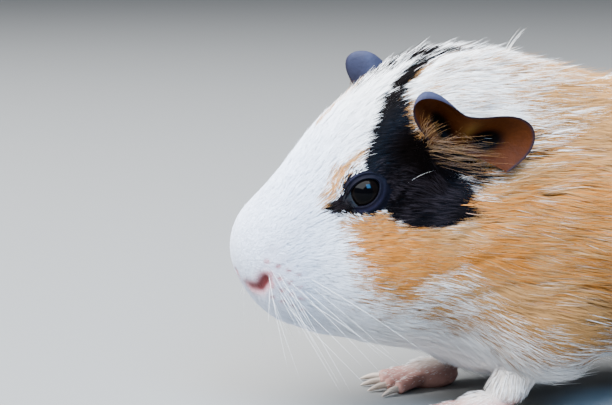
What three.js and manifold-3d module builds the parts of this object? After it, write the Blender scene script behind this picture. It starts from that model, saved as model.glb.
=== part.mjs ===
// A life-size guinea pig (Cavia porcellus), crouched on its four feet with the head low and level.
// Millimetres, +Z up, the animal faces -Y and its left side is +X. The origin is on the floor, under
// the middle of its length. The solids follow the outside of the coat.
import * as THREE from "three";
import { mergeVertices } from "three/addons/utils/BufferGeometryUtils.js";
import Module from "manifold-3d";

const wasm = await Module();
wasm.setup();

const radians = THREE.MathUtils.degToRad;

// ---------------------------------------------------------------- driving dimensions
// Along the body, y is measured back from a datum just ahead of the nose.
const DATUM_AHEAD = 117; // how far the datum lies ahead of the origin
const GAP = 0.3; // clearance between neighbouring solids
const BLEND = 4; // how softly the masses of the body run into each other

const EYE = { at: [17, 33.2, 63.6], radius: 5.2 };
const EYE_HOLLOW = { at: [21.5, 33.2, 63.6], reach: 7, depth: 2.2 };
const EAR_HOLLOW = { at: [25, 56, 75], reach: 9, depth: 2.6 };
const MOUTH = { at: [0, 20.5, 29], reach: 4, depth: 2.4 };
const CLAW = { length: 5.5, radius: 0.95 };
const SOLE_CUT = 0.6; // how much of each pad is flattened away by the floor

// Masses of flesh and coat: centre, half sizes (across, along, deep) and how far the front is
// raised, in degrees. A paired mass stands on both sides.
const MASSES = {
  bridge: { at: [0, 26, 62], size: [10.5, 18, 9], raise: -53 },
  muzzle: { at: [0, 20.5, 52], size: [11.5, 15, 11], raise: -53 },
  nose: { at: [0, 10.6, 48.5], size: [7.4, 7, 8.6], raise: 0 },
  lip: { at: [5.5, 17, 39.5], size: [7, 8, 9], raise: 0, paired: true },
  chin: { at: [0, 27.5, 31.2], size: [9, 10, 6.6], raise: 0 },
  cranium: { at: [0, 48, 71.8], size: [19.6, 27, 18.6], raise: -47 },
  crown: { at: [0, 63, 80.6], size: [19.6, 22, 16.4], raise: -8 },
  brow: { at: [8, 36, 68.8], size: [8.6, 14, 9.6], raise: -53, paired: true },
  cheek: { at: [11, 40, 42.6], size: [13.6, 18.4, 19.2], raise: -10, paired: true },
  throat: { at: [0, 53, 38], size: [23, 22, 18.5], raise: 0 },
  nape: { at: [0, 82, 71.4], size: [26.5, 34, 24.2], raise: 2 },
  neck: { at: [0, 76, 50.6], size: [33, 30, 31], raise: 0 },
  chest: { at: [0, 77, 33], size: [29, 26, 24.5], raise: 0 },
  shoulder: { at: [0, 108, 50], size: [39, 44, 38], raise: 0 },
  barrel: { at: [0, 150, 53], size: [45, 56, 44], raise: 0 },
  rump: { at: [0, 186, 50], size: [41, 47, 41], raise: 0 },
  elbow: { at: [25, 83, 26], size: [12, 15, 15.5], raise: 0, paired: true },
  haunch: { at: [28.5, 183, 33.5], size: [18, 31, 25.5], raise: 0, paired: true },
};

// The line inside the body that the surface is measured from, as [y, z] stations.
const SPINE = [[18, 49], [29, 56], [43, 59], [63, 58], [87, 54], [125, 52], [160, 52], [194, 50]];
const NOSE_CAP = 0.2; // share of the rows that closes over the nose
const RUMP_CAP = 0.2; // share of the rows that closes over the rump
const BODY_ROWS = 50;
const BODY_COLUMNS = 28;

const COATS = {
  white: { color: 0xefece6, roughness: 0.85 },
  peach: { color: 0xdcb48c, roughness: 0.85 },
  orange: { color: 0xd58f52, roughness: 0.85 },
  ear: { color: 0x4a3a3a, roughness: 0.6 },
  skin: { color: 0xc9a093, roughness: 0.6 },
  eye: { color: 0x0c0a0c, roughness: 0.05 },
  claw: { color: 0xc9b8a4, roughness: 0.4 },
};

// ---------------------------------------------------------------- solids from surfaces
/** A closed geometry from rows of points. A first or last row of one point is a pole. */
function shell(rows) {
  const positions = [];
  const start = rows.map((row) => {
    const first = positions.length / 3;
    row.forEach((p) => positions.push(p.x, p.y, p.z));
    return first;
  });
  const index = [];
  for (let i = 0; i + 1 < rows.length; i++) {
    const n = Math.max(rows[i].length, rows[i + 1].length);
    for (let j = 0; j < n; j++) {
      const k = (j + 1) % n;
      const [a, b] = rows[i].length === 1 ? [start[i], start[i]] : [start[i] + j, start[i] + k];
      const [c, d] =
        rows[i + 1].length === 1 ? [start[i + 1], start[i + 1]] : [start[i + 1] + j, start[i + 1] + k];
      if (a !== b) index.push(a, b, c);
      if (c !== d) index.push(b, d, c);
    }
  }
  capEnd(index, rows[0], start[0], true);
  capEnd(index, rows.at(-1), start.at(-1), false);
  const geometry = new THREE.BufferGeometry();
  geometry.setAttribute("position", new THREE.Float32BufferAttribute(positions, 3));
  geometry.setIndex(index);
  return geometry;
}

/** Closes an open end row with a strip across it, which suits round and thin outlines alike. */
function capEnd(index, row, first, front) {
  const n = row.length;
  for (let j = 0; j < n / 2 - 1; j++) {
    const [a, b, c, d] = [j, j + 1, n - 1 - j, n - 2 - j].map((k) => first + k);
    const faces = b === d ? [a, c, b] : [a, c, b, b, c, d];
    for (let k = 0; k < faces.length; k += 3) {
      const face = faces.slice(k, k + 3);
      index.push(...(front ? face : face.reverse()));
    }
  }
}

/** The manifold-3d solid of a closed geometry, turned to face outwards. */
function solid(geometry) {
  const bare = geometry.clone();
  bare.deleteAttribute("normal");
  bare.deleteAttribute("uv");
  const merged = mergeVertices(bare, 1e-4);
  const triVerts = new Uint32Array(merged.index.array);
  const vertProperties = merged.attributes.position.array;
  const made = new wasm.Manifold(new wasm.Mesh({ numProp: 3, vertProperties, triVerts }));
  if (made.volume() > 0) return made;
  for (let i = 0; i < triVerts.length; i += 3) {
    [triVerts[i + 1], triVerts[i + 2]] = [triVerts[i + 2], triVerts[i + 1]];
  }
  return new wasm.Manifold(new wasm.Mesh({ numProp: 3, vertProperties, triVerts }));
}

/** The geometry of a manifold-3d solid, kept to its largest body. */
function geometryOf(whole) {
  const body = whole.decompose().sort((a, b) => b.volume() - a.volume())[0];
  const { vertProperties, triVerts, numProp, numVert } = body.getMesh();
  const positions = new Float32Array(numVert * 3);
  for (let i = 0; i < numVert; i++) {
    positions.set(vertProperties.subarray(i * numProp, i * numProp + 3), i * 3);
  }
  const geometry = new THREE.BufferGeometry();
  geometry.setAttribute("position", new THREE.BufferAttribute(positions, 3));
  geometry.setIndex(new THREE.BufferAttribute(triVerts, 1));
  return geometry;
}

/** An ellipsoid as a solid. */
function ellipsoid([x, y, z], [rx, ry, rz], around = 14, down = 8) {
  const geometry = new THREE.SphereGeometry(1, around, down);
  geometry.scale(rx, ry, rz).translate(x, y, z);
  return solid(geometry);
}

/** A tapering limb with round ends along a smooth line through points, radii being at the points. */
function limb(points, radii, steps, sides) {
  const curve = new THREE.CatmullRomCurve3(points.map((p) => new THREE.Vector3(...p)));
  const across = new THREE.Vector3(1, 0, 0);
  const ends = 2;
  const rows = [];
  for (let i = -ends; i <= steps + ends; i++) {
    const t = Math.min(Math.max(i / steps, 0), 1);
    const over = i < 0 ? i / ends : i > steps ? (i - steps) / ends : 0;
    const at = curve.getPoint(t);
    const along = curve.getTangent(t);
    const side = across.clone().addScaledVector(along, -across.dot(along)).normalize();
    const up = new THREE.Vector3().crossVectors(along, side);
    const place = t * (radii.length - 1);
    const k = Math.min(Math.floor(place), radii.length - 2);
    const full = THREE.MathUtils.lerp(radii[k], radii[k + 1], place - k);
    const angle = (over * Math.PI) / 2;
    const radius = full * Math.cos(angle);
    at.addScaledVector(along, full * Math.sin(angle));
    if (Math.abs(over) === 1) {
      rows.push([at]);
      continue;
    }
    rows.push(
      Array.from({ length: sides }, (_, j) => {
        const a = (2 * Math.PI * j) / sides;
        return at
          .clone()
          .addScaledVector(side, radius * Math.cos(a))
          .addScaledVector(up, radius * Math.sin(a));
      }),
    );
  }
  return solid(shell(rows));
}

// ---------------------------------------------------------------- the body's form
/** Masses and hollows on both sides, ready to be measured. */
const mirror = (part) => [part, { ...part, at: [-part.at[0], part.at[1], part.at[2]] }];
const BODY = Object.values(MASSES)
  .flatMap((m) => (m.paired ? mirror(m) : [m]))
  .map((m) => ({ ...m, sin: Math.sin(radians(m.raise)), cos: Math.cos(radians(m.raise)) }));
const HOLLOWS = [...mirror(EYE_HOLLOW), ...mirror(EAR_HOLLOW), MOUTH];

/** Distance of a point from the blended outline of all the masses, negative inside. */
function distance(p) {
  let sum = 0;
  for (const { at, size, sin, cos } of BODY) {
    const x = p.x - at[0];
    const back = p.y - at[1];
    const up = p.z - at[2];
    const q = [x, -back * cos + up * sin, back * sin + up * cos];
    const k0 = Math.hypot(q[0] / size[0], q[1] / size[1], q[2] / size[2]);
    const k1 = Math.hypot(q[0] / size[0] ** 2, q[1] / size[1] ** 2, q[2] / size[2] ** 2);
    sum += Math.exp(Math.min(-((k0 * (k0 - 1)) / Math.max(k1, 1e-9)) / BLEND, 60));
  }
  let d = -BLEND * Math.log(sum + 1e-30);
  for (const { at, reach, depth } of HOLLOWS) {
    const away = Math.hypot(p.x - at[0], p.y - at[1], p.z - at[2]) / reach;
    d += depth * Math.exp(-away * away);
  }
  return d;
}

/** The body's surface where the distance equals level, found along rays that fan out of the spine. */
function body(level, rows = BODY_ROWS, columns = BODY_COLUMNS) {
  const curve = new THREE.CatmullRomCurve3(SPINE.map(([y, z]) => new THREE.Vector3(0, y, z)));
  const across = new THREE.Vector3(1, 0, 0);
  const surface = [];
  for (let i = 0; i <= rows; i++) {
    const s = i / rows;
    let tilt = Math.PI / 2;
    if (s < NOSE_CAP) tilt *= s / NOSE_CAP;
    if (s > 1 - RUMP_CAP) tilt += ((s - 1 + RUMP_CAP) / RUMP_CAP) * (Math.PI / 2);
    const t = Math.min(Math.max((s - 0.6 * NOSE_CAP) / (1 - 0.6 * (NOSE_CAP + RUMP_CAP)), 0), 1);
    const from = curve.getPoint(t);
    const forward = curve.getTangent(t).negate();
    const up = new THREE.Vector3().crossVectors(forward, across).multiplyScalar(-1);
    if (up.z < 0) up.negate();
    const pole = i === 0 || i === rows;
    const row = [];
    for (let j = 0; j < (pole ? 1 : columns); j++) {
      const a = (2 * Math.PI * j) / columns;
      const ray = new THREE.Vector3()
        .addScaledVector(forward, Math.cos(tilt))
        .addScaledVector(across, Math.sin(tilt) * Math.sin(a))
        .addScaledVector(up, -Math.sin(tilt) * Math.cos(a));
      let inside = 0;
      let outside = 120;
      for (let n = 0; n < 24; n++) {
        const middle = (inside + outside) / 2;
        if (distance(from.clone().addScaledVector(ray, middle)) < level) inside = middle;
        else outside = middle;
      }
      row.push(from.clone().addScaledVector(ray, inside));
    }
    surface.push(row);
  }
  return solid(shell(surface));
}

/** A large block whose front face stands at y, its top leaning back by lean degrees about z = 50. */
function blockBehind(y, lean) {
  const size = 400;
  const geometry = new THREE.BoxGeometry(size, size, size).translate(0, size / 2, 0);
  geometry.rotateX(radians(-lean)).translate(0, y, 50);
  return solid(geometry);
}

// ---------------------------------------------------------------- ears
const EAR = {
  root: [23.5, 56, 74.5], // the ear canal
  from: -22, // degrees from straight back, up and over to the front
  to: 160,
  base: 10.1, // the rim's reach at the notch between the lobes
  frontLobe: { at: 129, reach: 13.9, width: 21 },
  backLobe: { at: 18, reach: 9.2, width: 31 },
  flare: 7.6, // how far the rim stands off the head
  frontCurl: 2.6, // how far the front lobe folds outwards
  hem: { from: 0.78, drop: 1.9 }, // the front lobe's rim rolls over and hangs
  thickness: 1.3,
  canal: 0.16, // share of the reach that the canal takes
  columns: 17,
  rows: 5,
};
// How each ear is carried: the right one is pricked up, swung back and set a little higher.
const CARRIAGE = {
  left: { prick: 0, swing: 0, lift: 0 },
  right: { prick: 25, swing: 9, lift: 3 },
};

/** The ear's middle surface: a cup of two lobes. angle is in degrees and t runs from canal to rim. */
function earPoint(angle, t) {
  const lobe = ({ at, reach, width }) => reach * Math.exp(-(((angle - at) / width) ** 2));
  const front = lobe(EAR.frontLobe);
  const reach = (EAR.base + front + lobe(EAR.backLobe)) * t;
  const a = radians(angle);
  const share = front / EAR.frontLobe.reach;
  const out = EAR.flare * t ** 1.5 + EAR.frontCurl * share * t ** 4;
  const hem = share * (Math.max(0, t - EAR.hem.from) / (1 - EAR.hem.from)) ** 2;
  const up = reach * Math.sin(a) - 0.12 * out * t - EAR.hem.drop * hem;
  return new THREE.Vector3(out, reach * Math.cos(a), up);
}

/** An ear of the left side as a closed leaf of even thickness, carried as asked. */
function ear({ prick, swing, lift }) {
  const step = 1e-3;
  const rows = [];
  for (let i = 0; i <= EAR.columns; i++) {
    const angle = THREE.MathUtils.lerp(EAR.from, EAR.to, i / EAR.columns);
    const inner = [];
    const outer = [];
    for (let j = 0; j <= EAR.rows; j++) {
      const t = THREE.MathUtils.lerp(EAR.canal, 1, j / EAR.rows);
      const p = earPoint(angle, t);
      const around = earPoint(angle + THREE.MathUtils.radToDeg(step), t).sub(p);
      const away = earPoint(angle, t + step).sub(p);
      const normal = around.cross(away).normalize().multiplyScalar(EAR.thickness / 2);
      if (normal.x < 0) normal.negate();
      inner.push(p.clone().add(normal));
      outer.push(p.clone().sub(normal));
    }
    rows.push([...inner, ...outer.reverse()]);
  }
  const [x, y, z] = EAR.root;
  const geometry = shell(rows).rotateX(radians(-swing));
  geometry.rotateY(radians(-prick));
  return solid(geometry.translate(x, y, z + lift));
}

// ---------------------------------------------------------------- legs, feet and claws
const FORE = {
  at: [20, 66], // the middle of the foot on the floor
  pad: { size: [5.6, 8.5, 4.6], height: 3.9 },
  toes: [-24, -7, 9, 27], // how each toe turns outwards, in degrees
  toe: { length: 9, radius: 2, spread: 1.9 },
  shank: { points: [[0, 5, 6], [1, 9, 14], [2, 15, 26]], radii: [4.6, 5, 7] },
};
const HIND = {
  at: [31, 172],
  pad: { size: [5.8, 17, 5.2], height: 4.4 },
  toes: [-14, 2, 18],
  toe: { length: 11, radius: 2.3, spread: 2.5 },
  shank: { points: [[0, 11, 6], [-1, 13, 14], [-2, 12, 24]], radii: [5.2, 6, 8] },
};

/** Where a toe starts on its pad and the level direction that it points, for the left side. */
function toeLine(leg, turn) {
  const a = radians(turn);
  const forward = [Math.sin(a), -Math.cos(a)];
  const middle = (leg.toes[0] + leg.toes.at(-1)) / 2;
  const reach = leg.pad.size[1] - leg.toe.radius;
  const shift = (leg.toe.spread * (turn - middle)) / 12;
  const bow = 0.05 * Math.abs(turn - middle);
  return { start: [leg.at[0] + shift, leg.at[1] - reach + bow], forward };
}

/** A point ahead of a toe's start, by a share of the toe's length, at a height. */
function alongToe(leg, turn, share, z) {
  const { start, forward } = toeLine(leg, turn);
  const ahead = leg.toe.length * share;
  return [start[0] + forward[0] * ahead, start[1] + forward[1] * ahead, z];
}

/** A foot with its toes and the shank above it, on the left side, grown outwards by grow. */
function foot(leg, grow = 0) {
  const [x, y] = leg.at;
  const { size, height } = leg.pad;
  let made = ellipsoid([x, y, height], size.map((r) => r + grow), 10, 8);
  const shank = leg.shank.points.map(([dx, dy, z]) => [x + dx, y + dy, z]);
  made = made.add(limb(shank, leg.shank.radii.map((r) => r + grow), 3, 8));
  for (const turn of leg.toes) {
    const r = leg.toe.radius;
    const line = [
      alongToe(leg, turn, -0.35, r + 1.4),
      alongToe(leg, turn, 0.35, r + 1.2),
      alongToe(leg, turn, 0.9, r - 0.3),
    ];
    made = made.add(limb(line, [r * 1.15 + grow, r + grow, r * 0.85 + grow], 2, 6));
  }
  return made;
}

/** One claw, curving down from a toe's tip almost to the floor. */
function claw(leg, turn) {
  const r = leg.toe.radius;
  const share = (ofClaw) => 1 + (ofClaw * CLAW.length) / leg.toe.length;
  const line = [
    alongToe(leg, turn, share(-0.1), r),
    alongToe(leg, turn, share(0.55), r - 0.2),
    alongToe(leg, turn, share(1), SOLE_CUT + 0.75),
  ];
  return limb(line, [CLAW.radius, CLAW.radius * 0.8, 0.3], 2, 6);
}

// The parts of the body's outline that belong to the upper legs: an oval of the flank, as deep into
// the body as depth, measured from the middle.
const THIGH = { at: [184, 30], size: [31, 27], depth: 20 };
const UPPER_ARM = { at: [85, 24], size: [16, 20], depth: 17 };

/** The room that an upper leg takes up on the left side, grown outwards by grow. */
function flank({ at: [y, z], size: [along, tall], depth }, grow) {
  const width = 60 + grow;
  const geometry = new THREE.CylinderGeometry(1, 1, width, 28).rotateZ(Math.PI / 2);
  geometry.scale(1, along + grow, tall + grow).translate(depth - grow + width / 2, y, z);
  return solid(geometry);
}

// A loose lock of hair that stands up from the nape and curls back.
const LOCK = { points: [[6, 75, 92], [5.5, 78, 100], [4.5, 83.5, 106.3]], radii: [1.2, 0.75, 0.35] };

// ---------------------------------------------------------------- the animal
const guineaPig = new THREE.Group();
const animal = new THREE.Group();
animal.position.y = -DATUM_AHEAD;
guineaPig.add(animal);

/** Adds a named node with its own material. */
function addNode(name, made, { color, roughness }) {
  const material = new THREE.MeshStandardMaterial({ color, roughness, metalness: 0 });
  const mesh = new THREE.Mesh(geometryOf(made), material);
  mesh.name = name;
  animal.add(mesh);
}

const SIDES = { left: 1, right: -1 };
/** The same solid on one side: the left as made, the right as its mirror image. */
const onSide = (made, side) => (SIDES[side] > 0 ? made : made.mirror([1, 0, 0]));

const coat = body(0).add(limb(LOCK.points, LOCK.radii, 3, 6));
const clear = body(GAP);
const floor = solid(new THREE.BoxGeometry(400, 400, 40).translate(0, DATUM_AHEAD, SOLE_CUT - 20));
const lowered = (made) => made.subtract(floor).translate([0, 0, -SOLE_CUT]);

// The trunk and neck are parted by planes, and the upper legs by the edges of their own masses.
const HEAD_CUT = { y: 66, lean: 20 };
const NECK_CUT = { y: 82, lean: 26 };
const behindHead = blockBehind(HEAD_CUT.y + GAP, HEAD_CUT.lean);
const behindNeck = blockBehind(NECK_CUT.y + GAP, NECK_CUT.lean);
let head = coat.subtract(blockBehind(HEAD_CUT.y, HEAD_CUT.lean));
let neck = coat.intersect(behindHead).subtract(blockBehind(NECK_CUT.y, NECK_CUT.lean));
let trunk = coat.intersect(behindNeck);

for (const side of Object.keys(SIDES)) {
  const { at, radius } = EYE;
  const ball = (r) => onSide(ellipsoid(at, [r, r, r]), side);
  head = head.subtract(ball(radius + GAP));
  addNode(`eye_${side}`, ball(radius), COATS.eye);
  addNode(`ear_${side}`, onSide(ear(CARRIAGE[side]), side).subtract(clear), COATS.ear);

  for (const [name, region, leg] of [["front", UPPER_ARM, FORE], ["hind", THIGH, HIND]]) {
    const upper = onSide(flank(region, 0), side);
    const room = onSide(flank(region, GAP), side);
    trunk = trunk.subtract(room);
    neck = neck.subtract(room);
    head = head.subtract(room);
    addNode(`leg_${name}_${side}`, coat.intersect(upper), COATS.peach);
    addNode(`foot_${name}_${side}`, lowered(onSide(foot(leg), side).subtract(clear)), COATS.skin);
    const taken = onSide(foot(leg, GAP), side);
    leg.toes.forEach((turn, i) => {
      const nail = lowered(onSide(claw(leg, turn), side).subtract(taken));
      addNode(`claw_${name}_${side}_${i + 1}`, nail, COATS.claw);
    });
  }
}
addNode("head", head, COATS.white);
addNode("neck", neck, COATS.peach);
addNode("trunk", trunk, COATS.orange);

export default guineaPig;
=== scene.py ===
"""A short-haired guinea pig crouched on its four feet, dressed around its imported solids.

The solids follow the tips of the coat. The skin lies inside them by the coat's depth, and the coat is
solid tufts that are rooted in the skin and combed the way such a coat lies. Shapes are worked out in
millimetres in body coordinates: x to the animal's left, y back from a datum just ahead of the nose and
z up from the floor. They are put into the meshes in metres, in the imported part's own frame.
"""

import logging
import math
from collections.abc import Callable
from dataclasses import dataclass, field, replace
from enum import Enum

import bpy
import numpy as np
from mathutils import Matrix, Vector


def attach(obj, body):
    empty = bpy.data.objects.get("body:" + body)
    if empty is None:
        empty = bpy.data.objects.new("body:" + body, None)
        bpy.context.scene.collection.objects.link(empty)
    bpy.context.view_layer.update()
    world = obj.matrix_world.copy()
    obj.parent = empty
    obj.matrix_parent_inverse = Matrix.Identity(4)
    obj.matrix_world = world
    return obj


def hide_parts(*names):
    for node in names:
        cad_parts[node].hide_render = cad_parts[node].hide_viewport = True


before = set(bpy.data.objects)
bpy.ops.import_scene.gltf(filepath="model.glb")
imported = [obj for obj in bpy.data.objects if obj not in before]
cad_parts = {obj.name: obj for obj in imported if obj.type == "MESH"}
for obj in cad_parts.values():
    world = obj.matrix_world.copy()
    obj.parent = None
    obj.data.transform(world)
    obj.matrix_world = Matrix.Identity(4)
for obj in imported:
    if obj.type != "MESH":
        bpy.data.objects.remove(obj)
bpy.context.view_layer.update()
LOG = logging.getLogger("guinea_pig")

Array = np.ndarray
Random = np.random.Generator
Material = bpy.types.Material
Triple = tuple[float, float, float]
MM = 0.001
DATUM_AHEAD = 117.0  # how far the datum lies ahead of the origin
MIRROR = np.array([-1.0, 1.0, 1.0])
BODY = "root"
SIDES = ("left", "right")

# Places on the left of the head, in body coordinates.
EYE_AT = (17.0, 33.2, 63.6)
EYE_RADIUS = 5.2
EYE_SOCKET = (21.5, 33.2, 63.6)
EAR_ROOT = (23.5, 56.0, 74.5)
EAR_OPENING = ((24.5, 55.0, 75.0), (24.5, 65.5, 76.5))
NOSTRIL = ((4.6, 4.7, 37.3), (8.5, 6.2, 37.7), (10.7, 7.4, 40.4))
MOUTH = ((0.0, 15.5, 28.5), (8.2, 24.5, 29.2))
PHILTRUM = ((0.0, 3.2, 41.5), (0.0, 12.5, 31.5))


# --- arrays
def unit(v: Array) -> Array:
    """Each row of v divided by its length."""
    return v / np.maximum(np.linalg.norm(v, axis=-1, keepdims=True), 1e-12)


def ease(low: float, high: float, value: Array) -> Array:
    """A smooth step from 0 at low to 1 at high: 3t^2 - 2t^3, with t the share of the way."""
    t = np.clip((np.asarray(value, float) - low) / (high - low), 0.0, 1.0)
    return t * t * (3.0 - 2.0 * t)


def mirror(p: Triple) -> Triple:
    """The same place on the animal's other side."""
    return -p[0], p[1], p[2]


def bell(value: Array, middle: float, width: float) -> Array:
    """A smooth bump that is 1 at middle: e to the power of minus the squared share of width."""
    return np.exp(-(((value - middle) / width) ** 2))


def along(direction: Array, normal: Array) -> Array:
    """The part of each direction that lies in the surface with that normal, as a unit vector."""
    flat = direction - normal * np.sum(direction * normal, axis=-1, keepdims=True)
    return unit(flat)


def turn(v: Array, axis: Array, angle: Array) -> Array:
    """v turned about a unit axis at right angles to it: v cos a + (axis x v) sin a, a for each row."""
    a = np.asarray(angle)[..., None]
    return v * np.cos(a) + np.cross(axis, v) * np.sin(a)


def ellipsoid_distance(p: Array, at: Triple, size: Triple, raised: float) -> Array:
    """How far points lie outside an ellipsoid, in millimetres, negative inside.

    With q the point in the ellipsoid's own axes, k0 = |q / size| and k1 = |q / size^2|, the distance
    is close to k0 (k0 - 1) / k1.

    Args:
        p: Points, the last axis being x, y, z.
        at: The centre.
        size: Half sizes across, along and deep.
        raised: How far the front is raised, in degrees.

    Returns:
        One distance for each point.
    """
    sin, cos = math.sin(math.radians(raised)), math.cos(math.radians(raised))
    x, back, up = p[..., 0] - at[0], p[..., 1] - at[1], p[..., 2] - at[2]
    lengthwise = -back * cos + up * sin
    deep = back * sin + up * cos
    q = (x / size[0]) ** 2, (lengthwise / size[1]) ** 2, (deep / size[2]) ** 2
    k0 = np.sqrt(q[0] + q[1] + q[2])
    k1 = np.sqrt(q[0] / size[0] ** 2 + q[1] / size[1] ** 2 + q[2] / size[2] ** 2)
    return k0 * (k0 - 1.0) / np.maximum(k1, 1e-9)


def beside_line(p: Array, a: Triple, b: Triple) -> tuple[Array, Array]:
    """Where points lie beside the straight line from a to b.

    The share is (p - a) . (b - a) / |b - a|^2, held between 0 and 1.

    Args:
        p: Points.
        a: The line's start.
        b: Its end.

    Returns:
        The points' distances from the line, and the shares of its length that they are nearest to.
    """
    start, span = np.array(a, float), np.array(b, float) - np.array(a, float)
    share = np.clip(((p - start) @ span) / max(float(span @ span), 1e-9), 0.0, 1.0)
    return np.linalg.norm(p - start - share[..., None] * span, axis=-1), share


def folded(p: Array) -> Array:
    """Points with those on the right side moved to their mirror image on the left."""
    return np.concatenate([np.abs(p[..., :1]), p[..., 1:]], axis=-1)


def mirrored_distance(p: Array, *line: Triple) -> Array:
    """The distance from a bent line on the left side or from its mirror image, whichever is nearer."""
    q = folded(p)
    ends = line[1:] or line
    return np.min([beside_line(q, a, b)[0] for a, b in zip(line, ends)], axis=0)


def ripple(p: Array, wavelength: float, seed: int, waves: int = 7) -> Array:
    """Smooth noise between about -1 and 1: the mean of plane waves in random directions.

    Args:
        p: Points.
        wavelength: The mean length of the waves, in millimetres.
        seed: Chooses the waves.
        waves: How many are summed.

    Returns:
        One value for each point.
    """
    rng = np.random.default_rng(seed)
    pushes = unit(rng.normal(size=(waves, 3))) * (2 * np.pi / wavelength)
    pushes = pushes * rng.uniform(0.6, 1.5, (waves, 1))
    phases = rng.uniform(0, 2 * np.pi, waves)
    return np.sin(p @ pushes.T + phases).mean(axis=-1) * 1.6


def catmull_rom(points: Array, t: Array) -> Array:
    """Points of a smooth line through the given ones: the uniform Catmull-Rom cubic.

    Args:
        points: The points that the line goes through.
        t: Shares of the way along it, from 0 to 1.

    Returns:
        One point for each share.
    """
    last = len(points) - 1
    place = np.clip(t, 0, 1) * last
    k = np.minimum(place.astype(int), last - 1)
    f = (place - k)[:, None]
    padded = np.vstack([2 * points[0] - points[1], points, 2 * points[-1] - points[-2]])
    a, b, c, d = (padded[k + i] for i in range(4))
    return 0.5 * (2 * b + (c - a) * f + (2 * a - 5 * b + 4 * c - d) * f**2 + (3 * b - a - 3 * c + d) * f**3)


def in_cells(corners: tuple[Array, ...], cells: Array | tuple[Array, Array], s: Array, t: Array) -> Array:
    """Places in four-sided cells: a (1 - s)(1 - t) + b s (1 - t) + c s t + d (1 - s) t."""
    a, b, c, d = (corner[cells] for corner in corners)
    return a * (1 - s) * (1 - t) + b * s * (1 - t) + c * s * t + d * (1 - s) * t


@dataclass(frozen=True)
class Ramp:
    """A value that changes in straight stretches along the body, given at stations behind the nose."""

    stations: tuple[float, ...]
    values: tuple[float, ...]

    def at(self, y: Array) -> Array:
        """The value at distances behind the nose."""
        return np.interp(y, self.stations, self.values)


# --- meshes
@dataclass
class Shell:
    """A surface on its way into a mesh: points, four-sided and three-sided faces, and values by point."""

    points: Array
    quads: Array = field(default_factory=lambda: np.zeros((0, 4), int))
    tris: Array = field(default_factory=lambda: np.zeros((0, 3), int))
    values: dict[str, Array] = field(default_factory=dict)
    normals: Array | None = None
    uv: Array | None = None
    slots: Array | None = None

    def with_slot(self, slot: int) -> "Shell":
        """The same shell with every face in one material slot."""
        self.slots = np.full(len(self.quads) + len(self.tris), slot, int)
        return self

    def flipped(self) -> "Shell":
        """The same shell with its faces turned over."""
        return replace(self, quads=self.quads[:, ::-1], tris=self.tris[:, ::-1])

    def mirrored(self) -> "Shell":
        """The shell's mirror image, on the animal's other side."""
        normals = None if self.normals is None else self.normals * MIRROR
        return replace(self.flipped(), points=self.points * MIRROR, normals=normals)

    def facing_out(self) -> "Shell":
        """The shell with its faces turned outwards: the sum of their signed volumes has to be positive."""
        tris = np.vstack([self.quads[:, :3], self.quads[:, [0, 2, 3]], self.tris])
        a, b, c = (self.points[tris[:, i]] for i in range(3))
        return self if np.sum(a * np.cross(b, c)) > 0 else self.flipped()


def join(shells: list[Shell]) -> Shell:
    """Shells joined into one. They all have values, slots, normals and UVs, or none of them has.

    Args:
        shells: The shells, whose values have the same names.

    Returns:
        One shell that holds them all.
    """
    starts = np.cumsum([0] + [len(s.points) for s in shells[:-1]])
    quads = np.vstack([s.quads + k for s, k in zip(shells, starts)])
    tris = np.vstack([s.tris + k for s, k in zip(shells, starts)])
    whole = Shell(np.vstack([s.points for s in shells]), quads, tris)
    whole.values = {name: np.vstack([s.values[name] for s in shells]) for name in shells[0].values}
    if shells[0].slots is not None:
        fours = [s.slots[: len(s.quads)] for s in shells]
        threes = [s.slots[len(s.quads) :] for s in shells]
        whole.slots = np.concatenate(fours + threes)
    if shells[0].normals is not None:
        whole.normals = np.vstack([s.normals for s in shells])
    if shells[0].uv is not None:
        whole.uv = np.vstack([s.uv for s in shells])
    return whole


def lattice(rows: int, columns: int) -> Array:
    """The four-sided faces between rings of points."""
    index = np.arange(rows * columns).reshape(rows, columns)
    index = np.hstack([index, index[:, :1]])
    a, b, c, d = index[:-1, :-1], index[:-1, 1:], index[1:, 1:], index[1:, :-1]
    return np.stack([a, b, c, d], axis=-1).reshape(-1, 4)


def fans(rows: int, columns: int) -> Array:
    """The three-sided faces that draw the first and the last ring together in two points.

    Args:
        rows: How many rings there are. The two points are stored after them.
        columns: How many points a ring has.

    Returns:
        Three places in the points' order for each face.
    """
    ring = np.arange(columns)
    following = (ring + 1) % columns
    first, last, tail = rows * columns, rows * columns + 1, (rows - 1) * columns
    start = np.stack([np.full(columns, first), following, ring], -1)
    end = np.stack([np.full(columns, last), tail + ring, tail + following], -1)
    return np.vstack([start, end])


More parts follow.
